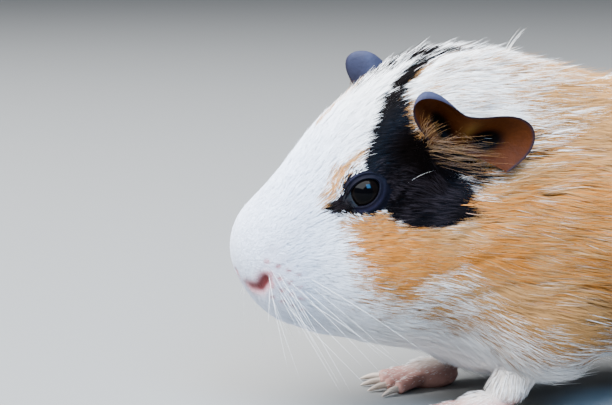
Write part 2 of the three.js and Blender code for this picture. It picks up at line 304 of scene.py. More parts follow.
def tube(
    path: Array,
    radii: Array,
    sides: int,
    side: Array | None = None,
    flat: float = 1.0,
    phase: float = 0.0,
) -> Shell:
    """A closed tube along each path, ending in a point at both ends.

    A ring at each inner station is centre + r (cos a * side + flat sin a * up), where side and up span
    the plane across the path.

    Args:
        path: Stations of shape (tubes, stations, 3).
        radii: A radius for each station, shape (tubes, stations) or (stations,).
        sides: Points in a ring.
        side: A direction across each tube, or None for a level one.
        flat: The tube's depth as a share of its width.
        phase: The first ring point's angle.

    Returns:
        The tubes as one shell.
    """
    count, stations, _ = path.shape
    ahead = unit(np.gradient(path, axis=1))
    if side is None:
        across = unit(np.cross(ahead, np.broadcast_to([0.0, 0.0, 1.0], ahead.shape)))
    else:
        across = unit(along(np.broadcast_to(side[:, None], ahead.shape), ahead))
    up = np.cross(across, ahead)
    a = np.arange(sides) * 2 * np.pi / sides + phase
    r = np.broadcast_to(radii, (count, stations))[:, 1:-1, None, None]
    spokes = across[:, 1:-1, None] * np.cos(a)[:, None] + up[:, 1:-1, None] * (np.sin(a)[:, None] * flat)
    rings = path[:, 1:-1, None] + r * spokes
    inner = stations - 2
    points = np.concatenate([rings.reshape(count, -1, 3), path[:, :1], path[:, -1:]], axis=1)
    starts = (np.arange(count) * points.shape[1])[:, None, None]
    quads = (lattice(inner, sides) + starts).reshape(-1, 4)
    shell = Shell(points.reshape(-1, 3), quads, (fans(inner, sides) + starts).reshape(-1, 3))
    outward = unit(spokes).reshape(count, -1, 3)
    shell.normals = np.concatenate([outward, -ahead[:, :1], ahead[:, -1:]], axis=1).reshape(-1, 3)
    return shell


def globe(centre: Triple, size: Triple, rings: int = 24, sides: int = 32) -> Shell:
    """A closed ellipsoid: centre + size * (sin b cos a, sin b sin a, cos b), its poles being points.

    Args:
        centre: Its middle.
        size: Its half sizes.
        rings: How many steps b takes from one pole to the other.
        sides: How many steps a takes once around.

    Returns:
        The ellipsoid.
    """
    b = np.linspace(0, np.pi, rings + 1)[1:-1, None]
    a = np.arange(sides)[None, :] * 2 * np.pi / sides
    ball = np.stack([np.sin(b) * np.cos(a), np.sin(b) * np.sin(a), np.cos(b) * np.ones_like(a)], -1)
    points = np.vstack([ball.reshape(-1, 3), [[0, 0, 1], [0, 0, -1]]]) * np.array(size) + np.array(centre)
    inner = rings - 1
    return Shell(points, lattice(inner, sides)[:, ::-1], fans(inner, sides)[:, [0, 2, 1]])


def bare_mesh(name: str, points: Array, shell: Shell) -> bpy.types.Mesh:
    """A mesh of a shell's faces on the given points, with nothing else set."""
    mesh = bpy.data.meshes.new(name)
    mesh.vertices.add(len(points))
    mesh.vertices.foreach_set("co", points.astype(np.float32).ravel())
    corners = np.concatenate([shell.quads.ravel(), shell.tris.ravel()])
    mesh.loops.add(len(corners))
    mesh.loops.foreach_set("vertex_index", corners.astype(np.int32))
    totals = np.concatenate([np.full(len(shell.quads), 4), np.full(len(shell.tris), 3)])
    mesh.polygons.add(len(totals))
    mesh.polygons.foreach_set("loop_start", (np.cumsum(totals) - totals).astype(np.int32))
    mesh.update(calc_edges=True)
    return mesh


def linked(name: str, data: bpy.types.ID | None) -> bpy.types.Object:
    """A new object with that data, put into the scene."""
    made = bpy.data.objects.new(name, data)
    bpy.context.scene.collection.objects.link(made)
    return made


def build(
    name: str,
    shell: Shell,
    materials: list[Material],
    replaced: list[str] | None = None,
) -> None:
    """Puts a shell into the scene as a piece that rides on the body, and reports it.

    Args:
        name: The piece's name.
        shell: Its surface, in millimetres in body coordinates.
        materials: One material for each of the shell's slots.
        replaced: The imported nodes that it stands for.
    """
    mesh = bare_mesh(name, (shell.points - np.array([0.0, DATUM_AHEAD, 0.0])) * MM, shell)
    mesh.polygons.foreach_set("use_smooth", np.ones(len(mesh.polygons), bool))
    if shell.slots is not None:
        mesh.polygons.foreach_set("material_index", shell.slots.astype(np.int32))
    for key, value in shell.values.items():
        stored = mesh.attributes.new(key, "FLOAT_VECTOR", "POINT")
        stored.data.foreach_set("vector", value.astype(np.float32).ravel())
    if shell.uv is not None:
        corners = np.concatenate([shell.quads.ravel(), shell.tris.ravel()])
        layer = mesh.uv_layers.new(name="OFBake")
        layer.data.foreach_set("uv", shell.uv[corners].astype(np.float32).ravel())
    if shell.normals is not None:
        mesh.normals_split_custom_set_from_vertices(shell.normals)
    for material in materials:
        mesh.materials.append(material)
    piece = linked(name, mesh)
    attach(piece, BODY)
    if replaced:
        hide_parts(*replaced)
    LOG.info("%s: %d triangles", name, 2 * len(shell.quads) + len(shell.tris))


# --- the body's form
@dataclass(frozen=True)
class Mass:
    """A rounded mass of flesh and coat. A paired one stands on both sides."""

    at: Triple
    size: Triple
    raised: float = 0.0
    paired: bool = False

    def distance(self, p: Array) -> Array:
        """How far points lie outside the mass."""
        return ellipsoid_distance(p, self.at, self.size, self.raised)

    def mirrored(self) -> "Mass":
        """The same mass on the other side."""
        return replace(self, at=mirror(self.at))


@dataclass(frozen=True)
class Groove:
    """A soft furrow or pit along a straight line: depth * exp(-(distance / reach)^2)."""

    a: Triple
    b: Triple
    reach: float
    depth: float
    paired: bool = True

    def taken(self, p: Array) -> Array:
        """What it takes off the surface at points."""
        return self.depth * np.exp(-((beside_line(p, self.a, self.b)[0] / self.reach) ** 2))

    def mirrored(self) -> "Groove":
        """The same furrow on the other side."""
        return replace(self, a=mirror(self.a), b=mirror(self.b))


MASSES = {
    "bridge": Mass((0, 26, 62), (10.5, 18, 9), -53),
    "muzzle": Mass((0, 20.5, 52), (11.5, 15, 11), -53),
    "nose": Mass((0, 10.6, 48.5), (7.4, 7, 8.6)),
    "lip": Mass((5.5, 17, 39.5), (7, 8, 9), 0, True),
    "chin": Mass((0, 27.5, 31.2), (9, 10, 6.6)),
    "cranium": Mass((0, 48, 71.8), (19.6, 27, 18.6), -47),
    "crown": Mass((0, 63, 80.6), (19.6, 22, 16.4), -8),
    "brow": Mass((8, 36, 68.8), (8.6, 14, 9.6), -53, True),
    "cheek": Mass((11, 40, 42.6), (13.6, 18.4, 19.2), -10, True),
    "throat": Mass((0, 53, 38), (23, 22, 18.5)),
    "nape": Mass((0, 82, 71.4), (26.5, 34, 24.2), 2),
    "neck": Mass((0, 76, 50.6), (33, 30, 31)),
    "chest": Mass((0, 77, 33), (29, 26, 24.5)),
    "shoulder": Mass((0, 108, 50), (39, 44, 38)),
    "barrel": Mass((0, 150, 53), (45, 56, 44)),
    "rump": Mass((0, 186, 50), (41, 47, 41)),
    "elbow": Mass((25, 83, 26), (12, 15, 15.5), 0, True),
    "haunch": Mass((28.5, 183, 33.5), (18, 31, 25.5), 0, True),
}
OUTLINE_HOLLOWS = (
    Groove(EYE_SOCKET, EYE_SOCKET, 7, 2.2),
    Groove((25, 56, 75), (25, 56, 75), 9, 2.6),
    Groove((0, 20.5, 29), (0, 20.5, 29), 4, 2.4, False),
)
SKIN_GROOVES = (
    Groove(*NOSTRIL[:2], 1.05, 2.6),
    Groove(*NOSTRIL[1:], 1.1, 3.4),
    Groove(*PHILTRUM, 0.6, 0.7, False),
    Groove(*MOUTH, 1.1, 1.6),
    Groove((21.3, 32.5, 64.1), (21.3, 32.5, 64.1), 7, -4.4),
    Groove(EYE_SOCKET, EYE_SOCKET, 3.2, 2.8),
)


def both_sides(things: tuple[Mass | Groove, ...]) -> list[Mass | Groove]:
    """Masses or furrows, and after them the mirror images of the paired ones."""
    return [*things, *(thing.mirrored() for thing in things if thing.paired)]


@dataclass
class Form:
    """The animal's outline and the skin inside it, as distances that any point can be asked for."""

    blend: float = 4.0  # how softly the masses run into each other
    depth: Ramp = Ramp((0, 7, 18, 40, 56, 80, 112), (0.15, 0.45, 0.95, 1.5, 2.4, 4.4, 5.8))
    probe: float = 0.05  # the step that slopes are measured over
    least_steep: float = 0.04  # a squared slope below this is taken as this
    longest_move: float = 4.0  # the longest Newton step

    def __post_init__(self) -> None:
        """Gives every paired mass and furrow its mirror image."""
        self.masses = [side for mass in MASSES.values() for side in both_sides((mass,))]
        self.hollows, self.grooves = both_sides(OUTLINE_HOLLOWS), both_sides(SKIN_GROOVES)

    def outline(self, p: Array) -> Array:
        """Distance outside the tips of the coat: -b log(sum of exp(-d / b)) over the masses, plus hollows.

        Args:
            p: Points.

        Returns:
            One distance for each point, negative inside.
        """
        total = np.zeros(p.shape[:-1])
        for mass in self.masses:
            total += np.exp(np.minimum(-mass.distance(p) / self.blend, 60.0))
        whole = -self.blend * np.log(total + 1e-30)
        for hollow in self.hollows:
            whole += hollow.taken(p)
        return whole

    def coat_depth(self, p: Array) -> Array:
        """How deep the coat is: next to nothing on the nose, growing back to the shoulders."""
        return self.depth.at(p[..., 1])

    def skin(self, p: Array) -> Array:
        """Distance outside the skin: the outline's distance plus the coat's depth and the furrows."""
        whole = self.outline(p) + self.coat_depth(p)
        for groove in self.grooves:
            whole += groove.taken(p)
        return whole

    def crossing(self, start: Array, ray: Array, inside: float, outside: float, times: int) -> Array:
        """How far along rays the skin lies, by halving the stretch that holds the crossing.

        Args:
            start: Where the rays start.
            ray: Their unit directions.
            inside: A distance along every ray that lies inside the skin.
            outside: One that lies outside it.
            times: How often the stretch is halved.

        Returns:
            One distance for each ray.
        """
        shape = np.broadcast_shapes(start.shape, ray.shape)[:-1]
        low, high = np.full(shape, inside), np.full(shape, outside)
        for _ in range(times):
            middle = 0.5 * (low + high)
            within = self.skin(start + ray * middle[..., None]) < 0
            low, high = np.where(within, middle, low), np.where(within, high, middle)
        return low

    def slope(self, p: Array) -> tuple[Array, Array]:
        """The skin's distance and its gradient, from a small step along each axis."""
        here = self.skin(p)
        sides = [self.skin(p + self.probe * axis) - here for axis in np.eye(3)]
        return here, np.stack(sides, -1) / self.probe

    def settle(self, p: Array, height: Array | float = 0.0) -> tuple[Array, Array]:
        """Moves points to a height over the skin, by two Newton steps along the gradient.

        Args:
            p: Points near the skin.
            height: The height over it, in millimetres.

        Returns:
            The moved points and the outward normals there.
        """
        for _ in range(2):
            here, gradient = self.slope(p)
            steep = np.maximum(np.sum(gradient**2, axis=-1), self.least_steep)
            move = np.clip((here - height) / steep, -self.longest_move, self.longest_move)
            p = p - gradient * move[..., None]
        return p, unit(gradient)


SPINE = ((18, 49), (29, 56), (43, 59), (63, 58), (87, 54), (125, 52), (160, 52), (194, 50))  # y and z


@dataclass
class Hide:
    """The skin of the head, neck and trunk as a grid, found along rays that fan out of the spine."""

    form: Form
    rows: int = 400
    columns: int = 176
    cap: float = 0.2  # share of the rows' way that closes over the nose, and over the rump
    head_share: tuple[float, float] = (0.5, 0.42)  # so many of the rows lie in the first part of the way
    farthest: float = 110.0  # no ray meets the skin further out than this

    def grid(self) -> Array:
        """The skin's points, row by row from the nose to the rump.

        A ray starts on the spine and runs along cos(b) forward + sin(b) (sin(a) left - cos(a) up), where
        b grows from 0 at the nose to a half turn at the rump and a goes once around from the belly.

        Returns:
            Points of shape (rows + 1, columns, 3).
        """
        s = np.linspace(0, 1, self.rows + 1)
        s = np.interp(s, [0, self.head_share[0], 1], [0, self.head_share[1], 1])
        b = np.interp(s, [0, self.cap, 1 - self.cap, 1], np.pi * np.array([0, 0.5, 0.5, 1]))[:, None, None]
        share = np.clip((s - 0.6 * self.cap) / (1 - 1.2 * self.cap), 0, 1)
        line = np.array([(0, y, z) for y, z in SPINE], float)
        start = catmull_rom(line, share)[:, None]
        before, after = np.maximum(share - 0.01, 0), np.minimum(share + 0.01, 1)
        ahead = unit(catmull_rom(line, before) - catmull_rom(line, after))
        left = np.array([1.0, 0.0, 0.0])
        up = np.cross(ahead, left)
        up = up * np.sign(up[:, 2:])
        a = np.arange(self.columns) * 2 * np.pi / self.columns
        across = np.sin(a)[None, :, None] * left - np.cos(a)[None, :, None] * up[:, None]
        ray = np.cos(b) * ahead[:, None] + np.sin(b) * across
        return start + ray * self.form.crossing(start, ray, 0.0, self.farthest, 20)[..., None]

    def shell(self, points: Array) -> Shell:
        """The grid as a closed shell, each end row being drawn together in one point."""
        inner = points[1:-1]
        size = inner.shape[:2]
        places = np.vstack([inner.reshape(-1, 3), points[0].mean(0)[None], points[-1].mean(0)[None]])
        return Shell(places, lattice(*size), fans(*size))


# --- markings
class Pigment(Enum):
    """The colours of the coat. White is where no other one lies."""

    BLACK = 0
    ORANGE = 1
    TAN = 2
    WHITE = 3


BLACK, ORANGE, TAN, WHITE = Pigment


@dataclass(frozen=True)
class Patch:
    """An ellipsoid of one colour that shows where it crosses the coat. Its edge fades over soft."""

    pigment: Pigment
    at: Triple
    size: Triple
    raised: float = 0.0
    soft: float = 2.0
    strength: float = 1.0

    def distance(self, p: Array) -> Array:
        """How far points lie outside the patch."""
        return ellipsoid_distance(p, self.at, self.size, self.raised)


@dataclass(frozen=True)
class Streak:
    """A band of one colour along a bent line, given as (x, y, z, half width) at each bend."""

    pigment: Pigment
    line: tuple[tuple[float, float, float, float], ...]
    soft: float = 1.0
    strength: float = 1.0

    def distance(self, p: Array) -> Array:
        """How far points lie outside the band: the least distance from a stretch, less its half width.

        Args:
            p: Points.

        Returns:
            One distance for each point, negative inside.
        """
        nearest = np.full(p.shape[:-1], np.inf)
        for a, b in zip(self.line, self.line[1:]):
            away, share = beside_line(p, a[:3], b[:3])
            nearest = np.minimum(nearest, away - a[3] - share * (b[3] - a[3]))
        return nearest


Mark = Patch | Streak

TRUNK = (
    Patch(TAN, (8, 112, 64), (48, 26, 40), 0, 8, 0.75),
    Patch(ORANGE, (30, 116, 76), (26, 15, 19), 0, 4, 0.8),
    Patch(WHITE, (0, 140, 60), (60, 13, 60), 12, 3.5),
    Patch(BLACK, (20, 174, 80), (34, 25, 36), -6, 2),
    Patch(ORANGE, (-30, 176, 74), (28, 28, 34), 8, 2.5, 0.95),
    Patch(ORANGE, (26, 222, 60), (30, 24, 34), 20, 3, 0.9),
    Patch(BLACK, (-18, 216, 84), (22, 16, 22), 0, 2),
    Patch(WHITE, (0, 120, 8), (34, 130, 17), 0, 4, 0.9),
)
RIGHT_FACE = (
    Patch(TAN, (-28, 78, 52), (22, 26, 30), 0, 9, 0.6),
    Patch(ORANGE, (-21, 40, 70), (16, 17, 19), -30, 2),
    Patch(ORANGE, (-27, 52, 50), (14, 18, 13), 0, 3, 0.9),
    Patch(BLACK, (-19, 64, 86), (16.5, 17, 15), -8, 1.6),
    Patch(BLACK, (-24, 76, 72), (14, 12, 11), 0, 2),
)
LEFT_NECK = (
    Patch(TAN, (30, 92, 50), (30, 37, 28), 0, 8, 0.92),
    Patch(TAN, (16, 102, 86), (26, 26, 17), 0, 9, 0.6),
    Patch(ORANGE, (32, 84, 54), (18, 27, 19), 6, 9, 0.6),
    Patch(TAN, (14, 74, 92), (16, 24, 12), 0, 6, 0.3),
    # partly the coat's tan and partly painted shade low on the jaw and neck
    Patch(TAN, (26, 58, 36), (14, 26, 11), -4, 7, 0.5),
    Patch(TAN, (26, 52, 53), (8, 9, 8), 0, 4, 0.8),
    # partly the coat's tan and partly painted shade low on the neck
    Patch(TAN, (24, 86, 30), (22, 26, 12), 0, 8, 0.45),
    Patch(TAN, (26, 72, 70), (9, 13, 9), 0, 5, 0.5),
    Streak(ORANGE, ((26, 44, 46, 3.4), (29, 58, 45.5, 3.4), (33, 70, 46, 5)), 4.6, 0.8),
    Streak(TAN, ((20, 27.5, 55.4, 1.2), (23, 35, 54, 4)), 2.6, 0.9),
    Streak(ORANGE, ((20, 28.5, 55.4, 0.9), (23, 35, 54, 3.4)), 2.2, 0.7),
    Patch(TAN, (24, 41.5, 47.5), (13, 12.5, 10.5), 10, 5.4, 0.9),
    Patch(ORANGE, (24, 40.5, 47.5), (12, 10.5, 9.2), 10, 5.4, 0.85),
)
BROW_LINE = ((-3.5, 27, 80, 1.6), (-4.6, 31.9, 85.2, 2.2))
BLAZE = (
    Patch(WHITE, (0, 16, 44), (21, 14, 26), 0, 3),
    Patch(WHITE, (2.5, 36, 84), (9.5, 42, 14), -50, 1.2),
    Patch(WHITE, (0, 42, 16), (36, 34, 17), 14, 6, 0.85),
    Streak(TAN, (*BROW_LINE, (-5.4, 34.5, 88, 2.2), (-6, 38, 91, 1.6)), 2, 0.75),
)
CREST_LINE = ((10, 48.5, 94, 2.6), (8, 54, 97, 2.5))
EYE_STRIPE_LINE = ((20.6, 47.6, 79, 0.9), (18.4, 45.6, 85, 1.1))
LEFT_EYE = (
    Streak(TAN, ((18.3, 32.3, 73.8, 1.2), (17.4, 28.9, 71.2, 1.6), (16.9, 26.4, 68.6, 1.9)), 1.8, 0.85),
    Streak(TAN, ((16.9, 26.4, 68.6, 1.9), (16.6, 24.9, 66, 2), (16.4, 23.2, 61.5, 1.6)), 1.8, 0.85),
    Streak(ORANGE, ((17.2, 27.8, 70.2, 0.5), (16.7, 25.4, 67, 0.9), (16.4, 23.8, 63, 0.6)), 1.2, 0.5),
    Streak(BLACK, ((15.2, 42.2, 86, 3.5), (17, 40, 82, 3.7), (18.6, 38.6, 78.4, 3.9)), 1),
    Streak(BLACK, ((18.6, 38.6, 78.4, 3.9), (19.8, 37, 74.7, 3.9), (20.3, 36, 71.2, 3.6)), 1),
    Patch(BLACK, (25, 46, 64.5), (14, 14, 9.6), 16, 1.3),
    Patch(BLACK, (18.5, 32.6, 63.8), (11, 6.6, 6), -20, 0.8),
    Streak(BLACK, ((18.5, 30, 61.5, 4), (17.4, 25.6, 59.8, 2.4)), 0.9),
    Streak(BLACK, ((20, 41, 76, 6), (17.5, 41, 82, 4.6), (14.5, 41.2, 87.5, 3)), 1.2),
    Streak(BLACK, ((14.5, 41.2, 87.5, 3), (12.5, 44.5, 90.7, 2.6), (10, 48.5, 94, 2.6)), 1.2),
    Streak(BLACK, (*CREST_LINE, (4.5, 61, 98.8, 2.2), (1, 69, 99.2, 1.6)), 1.4, 0.9),
    Streak(BLACK, ((21, 47.5, 79, 1.6), (22, 48, 75, 3)), 1, 0.9),
    Streak(BLACK, ((25, 56, 68, 3.6), (27.5, 64, 68.5, 1.6), (29, 69, 69, 0.8)), 1.6, 0.75),
    Patch(BLACK, (24, 55, 73.6), (9, 12, 7.2), 0, 1.5),
    Streak(BLACK, ((24, 48, 58.6, 2.6), (26.6, 55, 57.8, 2.2), (28.4, 61, 57.6, 0.8)), 1.4, 0.85),
    Streak(BLACK, ((18.7, 30.6, 70, 1.4), (18, 27.8, 66.5, 1.6), (17.5, 25.6, 62.5, 1.4)), 1.5, 0.3),
    Streak(BLACK, ((25, 72, 80, 1.6), (29, 79, 75, 1.4), (30, 82, 70, 1)), 2.2, 0.45),
    Streak(BLACK, ((23, 73, 87, 0.7), (25, 80, 84.5, 0.7)), 1.3, 0.5),
    Streak(BLACK, ((-6.5, 39, 92.5, 2.2), (-4, 47, 96.2, 3.6), (0.5, 54, 98.3, 3.8)), 3.2, 0.64),
    Streak(BLACK, ((-2, 37, 91, 1.8), (0, 43, 94.8, 3.2), (2, 49, 97.2, 3.6)), 3.6, 0.62),
    Streak(BLACK, ((2, 56, 98.6, 3.8), (2, 66, 99.4, 3), (3, 78, 98.5, 2), (3, 92, 96.4, 1.4)), 3.4, 0.55),
    Streak(TAN, ((17.5, 44.5, 86, 1.2), (19.8, 46.8, 82, 1.2), (21, 47.8, 78.5, 0.8)), 1, 0.6),
    Streak(TAN, (*EYE_STRIPE_LINE, (14.5, 47, 90.5, 1.2), (11, 52, 95, 1)), 1, 0.6),
)


@dataclass
class Markings:
    """The coat's pattern, as a share of each colour at any point."""

    marks: tuple[Mark, ...] = (*TRUNK, *RIGHT_FACE, *LEFT_NECK, *BLAZE, *LEFT_EYE)
    waves: tuple[tuple[float, int], ...] = ((17.0, 3), (12.0, 4), (14.0, 5))  # length and seed by axis
    wander: tuple[float, float] = (0.5, 2.6)  # how far edges wander on the face, and how much more behind
    together: float = 0.3  # how much of a hair's number is its lock's
    blur: float = 0.03  # how far one colour runs into the next

    def shares(self, p: Array) -> Array:
        """The shares of the colours at points, each mark laid over the ones before it.

        A mark's edge wanders with smooth noise, and its share falls from its strength to nothing as
        the distance from it goes from -soft to soft.

        Args:
            p: Points.

        Returns:
            Shares of black, orange and tan.
        """
        wander = np.stack([ripple(p, length, seed) for length, seed in self.waves], -1)
        roam = ease(20, 90, p[..., 1])[..., None]
        q = p + wander * (self.wander[0] + self.wander[1] * roam)
        shares = np.zeros((*p.shape[:-1], 3))
        for mark in self.marks:
            m = mark.strength * (1.0 - ease(-mark.soft, mark.soft, mark.distance(q)))
            shares *= (1.0 - m)[..., None]
            if mark.pigment is not WHITE:
                shares[..., mark.pigment.value] += m
        return shares

    def hairs(self, p: Array, lock: Array, rng: Random) -> Array:
        """The shares of single hairs, each of which is nearly all of one colour.

        The shares are laid end to end from 0 to 1, and a hair takes the colour that its own number falls
        in. The number is drawn partly for the hair's lock, so that hairs of a lock tend to be alike, and
        is then spread evenly.

        Args:
            p: Where each hair shows.
            lock: A random number from 0 to 1 that the hairs of a lock share.
            rng: The source of the hairs' own numbers.

        Returns:
            Shares of black, orange and tan.
        """
        ends = np.cumsum(self.shares(p), axis=-1)
        part = self.together
        x = part * lock + (1 - part) * rng.random(len(lock))
        near_end = np.minimum(x, 1 - x)
        short_of = near_end**2 / (2 * part * (1 - part))
        in_end = np.where(x < 0.5, short_of, 1 - short_of)
        number = np.where(near_end < part, in_end, (x - 0.5 * part) / (1 - part))[:, None]
        reached = ease(-self.blur, self.blur, ends - (self.blur + (1 - 2 * self.blur) * number))
        return np.diff(reached, axis=-1, prepend=0.0)


# --- the lie of the coat
def whisker_roots() -> Array:
    """The follicles of the left pad: rows that fan back from the nostril over the lip."""
    row, place = np.meshgrid(np.arange(4), np.arange(4), indexing="ij")
    y = 8.0 + 2.6 * place + 0.6 * row
    z = 45.5 - 3.3 * row - 1.1 * place
    x = 11.2 - 0.5 * row + 0.8 * place
    return np.stack([x, y, z], -1).reshape(-1, 3)


@dataclass
class Lie:
    """Which way the coat lies, how long it is and where it is missing."""

    nose: Triple = (0.0, 3.0, 40.0)
    lengths: Ramp = Ramp((0, 8, 20, 40, 56, 80, 112), (1.3, 2.4, 4.2, 6.6, 9.0, 14.5, 18.5))
    widths: Ramp = Ramp((0, 16, 40, 60, 90, 120), (0.072, 0.085, 0.1, 0.115, 0.15, 0.25))
    partings: tuple[tuple[Triple, float, float], ...] = ((EYE_AT, 6.2, 4.0), (EAR_ROOT, 8.0, 5.0))
    push: float = 0.25  # how strongly the coat is turned away from a parting's middle

    def direction(self, p: Array, n: Array) -> Array:
        """The way a hair points at each place, in the surface.

        On the face it runs away from the nose; further back it turns to run along the body, sagging a
        little, and over the rump it hangs. Around an eye and an ear it loses what would take it inwards, so
        that it flows past on both sides.

        Args:
            p: Places on the skin.
            n: Normals there.

        Returns:
            Unit vectors.
        """
        y = p[..., 1]
        face = (1.0 - ease(12, 46, y))[..., None]
        v = unit(p - np.array(self.nose)) * face + np.array([0.0, 1.0, 0.0]) * (1.0 - face)
        v[..., 2] -= 0.06 + 0.08 * ease(24, 60, y) + 0.10 * ease(70, 120, y) + 0.85 * ease(198, 232, y)
        for at, reach, width in self.partings:
            for middle in (at, mirror(at)):
                away = p - np.array(middle)
                far = np.linalg.norm(away, axis=-1)
                away = unit(away)
                inward = np.minimum(np.sum(v * away, axis=-1), 0.0)
                v += away * (bell(np.maximum(far, reach), reach, width) * (self.push - inward))[..., None]
        return along(v, n)

    def length(self, p: Array) -> Array:
        """A tuft's length: shortest on the nose and round the eyes and mouth, longest on the body."""
        eye = 0.3 + 0.7 * ease(6, 13, mirrored_distance(p, EYE_AT))
        mouth = np.minimum(mirrored_distance(p, *NOSTRIL), mirrored_distance(p, *MOUTH))
        return self.lengths.at(p[..., 1]) * eye * (0.28 + 0.72 * ease(1, 8, mouth))

    def width(self, p: Array) -> Array:
        """A tuft's widest half width."""
        return self.widths.at(p[..., 1])

    @staticmethod
    def cover(p: Array) -> Array:
        """How thickly tufts stand, from 0 to 1: not on lids, nostrils and lips, few at an ear's opening."""
        share = ease(5.7, 6.2, mirrored_distance(p, EYE_AT)) * ease(1.5, 2.7, mirrored_distance(p, *NOSTRIL))
        share = share * ease(0.7, 1.7, mirrored_distance(p, *MOUTH))
        share = share * ease(0.1, 0.7, mirrored_distance(p, *PHILTRUM))
        return share * (0.04 + 0.96 * ease(5.0, 8.0, mirrored_distance(p, *EAR_OPENING)))


def scatter(cells: Array, seed: int) -> Array:
    """Even random numbers for whole-number cells, from a mixing of their numbers' bits.

    Args:
        cells: Three whole numbers for each cell.
        seed: Chooses the mixing.

    Returns:
        Three numbers from 0 to 1 for each cell.
    """
    c = cells.astype(np.int64).astype(np.uint64)
    x, y, z = (c[..., i] * np.uint64(prime) for i, prime in enumerate((73856093, 19349663, 83492791)))
    key = x ^ y ^ z
    numbers = []
    for i in range(3):
        key = (key + np.uint64(seed + i)) * np.uint64(6364136223846793005) + np.uint64(1442695040888963407)
        key ^= key >> np.uint64(29)
        numbers.append((key >> np.uint64(40)).astype(float) / 2**24)
    return np.stack(numbers, -1)


def locks(p: Array, size: Array, seed: int) -> tuple[Array, Array]:
    """The lock that each hair belongs to: the nearest of one random point in each cell of a lattice.

    Args:
        p: Roots of hairs.
        size: The lattice's spacing at each root.
        seed: Chooses the random points.

    Returns:
        The locks' middles, and three random numbers of each lock.
    """
    scaled = p / size[:, None]
    base = np.floor(scaled).astype(int)
    best = np.full(len(p), np.inf)
    middle, numbers = np.zeros_like(p), np.zeros_like(p)
    for step in np.ndindex(3, 3, 3):
        cell = base + np.array(step) - 1
        jitter = scatter(cell, seed)
        gap = np.linalg.norm(cell + jitter - scaled, axis=-1)
        near = gap < best
        best = np.where(near, gap, best)
        middle[near] = ((cell + jitter) * size[:, None])[near]
        numbers[near] = scatter(cell, seed + 7)[near]
    return middle, numbers


# --- the coat
@dataclass(frozen=True)
class Band:
    """One stretch of the coat, from the nose back: how many tufts it has and how many rings each has."""

    name: str
    start: float
    end: float
    tufts: int
    rings: int


BANDS = (
    Band("coat_muzzle", -10, 25, 26000, 1),
    Band("coat_brow", 25, 42, 31500, 1),
    Band("coat_cheeks", 42, 58, 31500, 1),
    Band("coat_ears", 58, 73, 31000, 1),
    Band("coat_neck", 73, 92, 32500, 1),
    Band("coat_shoulders", 92, 118, 27000, 1),
    Band("coat_flanks", 118, 150, 10500, 2),
    Band("coat_loins", 150, 187, 10500, 2),
    Band("coat_rump", 187, 260, 10000, 2),
)
STEPS = {1: (0, 0.42, 1.0), 2: (0, 0.3, 0.68, 1.0)}  # shares of the length at stations, by rings
SWELL = {1: (0, 1.0, 0), 2: (0, 1.0, 0.72, 0)}  # shares of the width at the same stations


@dataclass
class Strands:
    """Hairs that lie over the skin, made as thin closed blades."""

    form: Form
    lie: Lie
    markings: Markings
    rooted: float = 0.35  # how deep a hair starts under the skin
    depth: float = 0.55  # a blade's depth as a share of its width
    uv_patch: float = 0.003  # the side of the square that a blade takes on the unwrap

    def comb(
        self, p: Array, n: Array, length: Array, lift: Array, angle: Array, pull: Array, steps: Array
    ) -> tuple[Array, Array]:
        """The hairs' paths. Each step goes along the lie, and is set to its height over the skin.

        The height at a share s of the length is depth * lift * (1 - (1 - s)^1.8).

        Args:
            p: Roots on the skin.
            n: Normals there.
            length: Lengths.
            lift: How far each tip stands up, as a share of the coat's depth.
            angle: How far each hair strays from the lie, in radians.
            pull: How far each tip is drawn towards its lock.
            steps: Shares of the length, from 0 to 1.

        Returns:
            Points and normals of shape (hairs, stations, 3).
        """
        path, normals = [p - n * self.rooted], [n]
        q, m = p, n
        for before, s in zip(steps[:-1], steps[1:]):
            d = turn(self.lie.direction(q, m), m, angle)
            q = q + d * (length * (s - before))[:, None] + pull * (s**1.5 - before**1.5)
            height = self.form.coat_depth(q) * lift * (1 - (1 - s) ** 1.8)
            q, m = self.form.settle(q, height)
            path.append(q)
            normals.append(m)
        return np.stack(path, 1), np.stack(normals, 1)

    def blades(
        self, path: Array, normals: Array, width: Array, rings: int, marking: Array, look: Array, uv: Array
    ) -> Shell:
        """Blades along paths: three-sided, flat, with a ridge on the outer side.

        Args:
            path: Stations of the hairs.
            normals: The skin's normals there.
            width: Half widths.
            rings: How many rings a hair has between its two ends.
            marking: Shares of the colours for each hair.
            look: How light each hair is, painted shade included, and how much skin shows through it.
            uv: Where each root lies on the skin's own unwrap.

        Returns:
            The blades, with the attributes that the coat's finish reads.
        """
        side = unit(np.cross(unit(path[:, -1] - path[:, 0]), normals[:, 0]))
        made = tube(path, width[:, None] * np.array(SWELL[rings]), 3, side, self.depth, np.pi / 2)
        count, stations = path.shape[:2]
        rims = np.repeat(normals[:, 1:-1], 3, axis=1)
        over = np.concatenate([rims, normals[:, :1], normals[:, -1:]], axis=1)
        made.normals = unit(0.22 * made.normals + 0.9 * over.reshape(-1, 3))
        share = np.linspace(0, 1, stations)
        lengthwise = np.concatenate([np.repeat(share[1:-1], 3), share[:1], share[-1:]])
        across = np.concatenate([np.tile([0.5, 0.0, 1.0], rings), [0.5, 0.5]])
        each = len(lengthwise)
        shade, tint = (np.repeat(one, each) for one in look)
        strand = np.stack([shade, np.tile(lengthwise, count), tint], -1)
        made.values = {"marking": np.repeat(marking, each, axis=0), "strand": strand}
        local = np.tile(np.stack([across, lengthwise], -1) * self.uv_patch, (count, 1))
        made.uv = np.repeat(uv, each, axis=0) + local
        return made


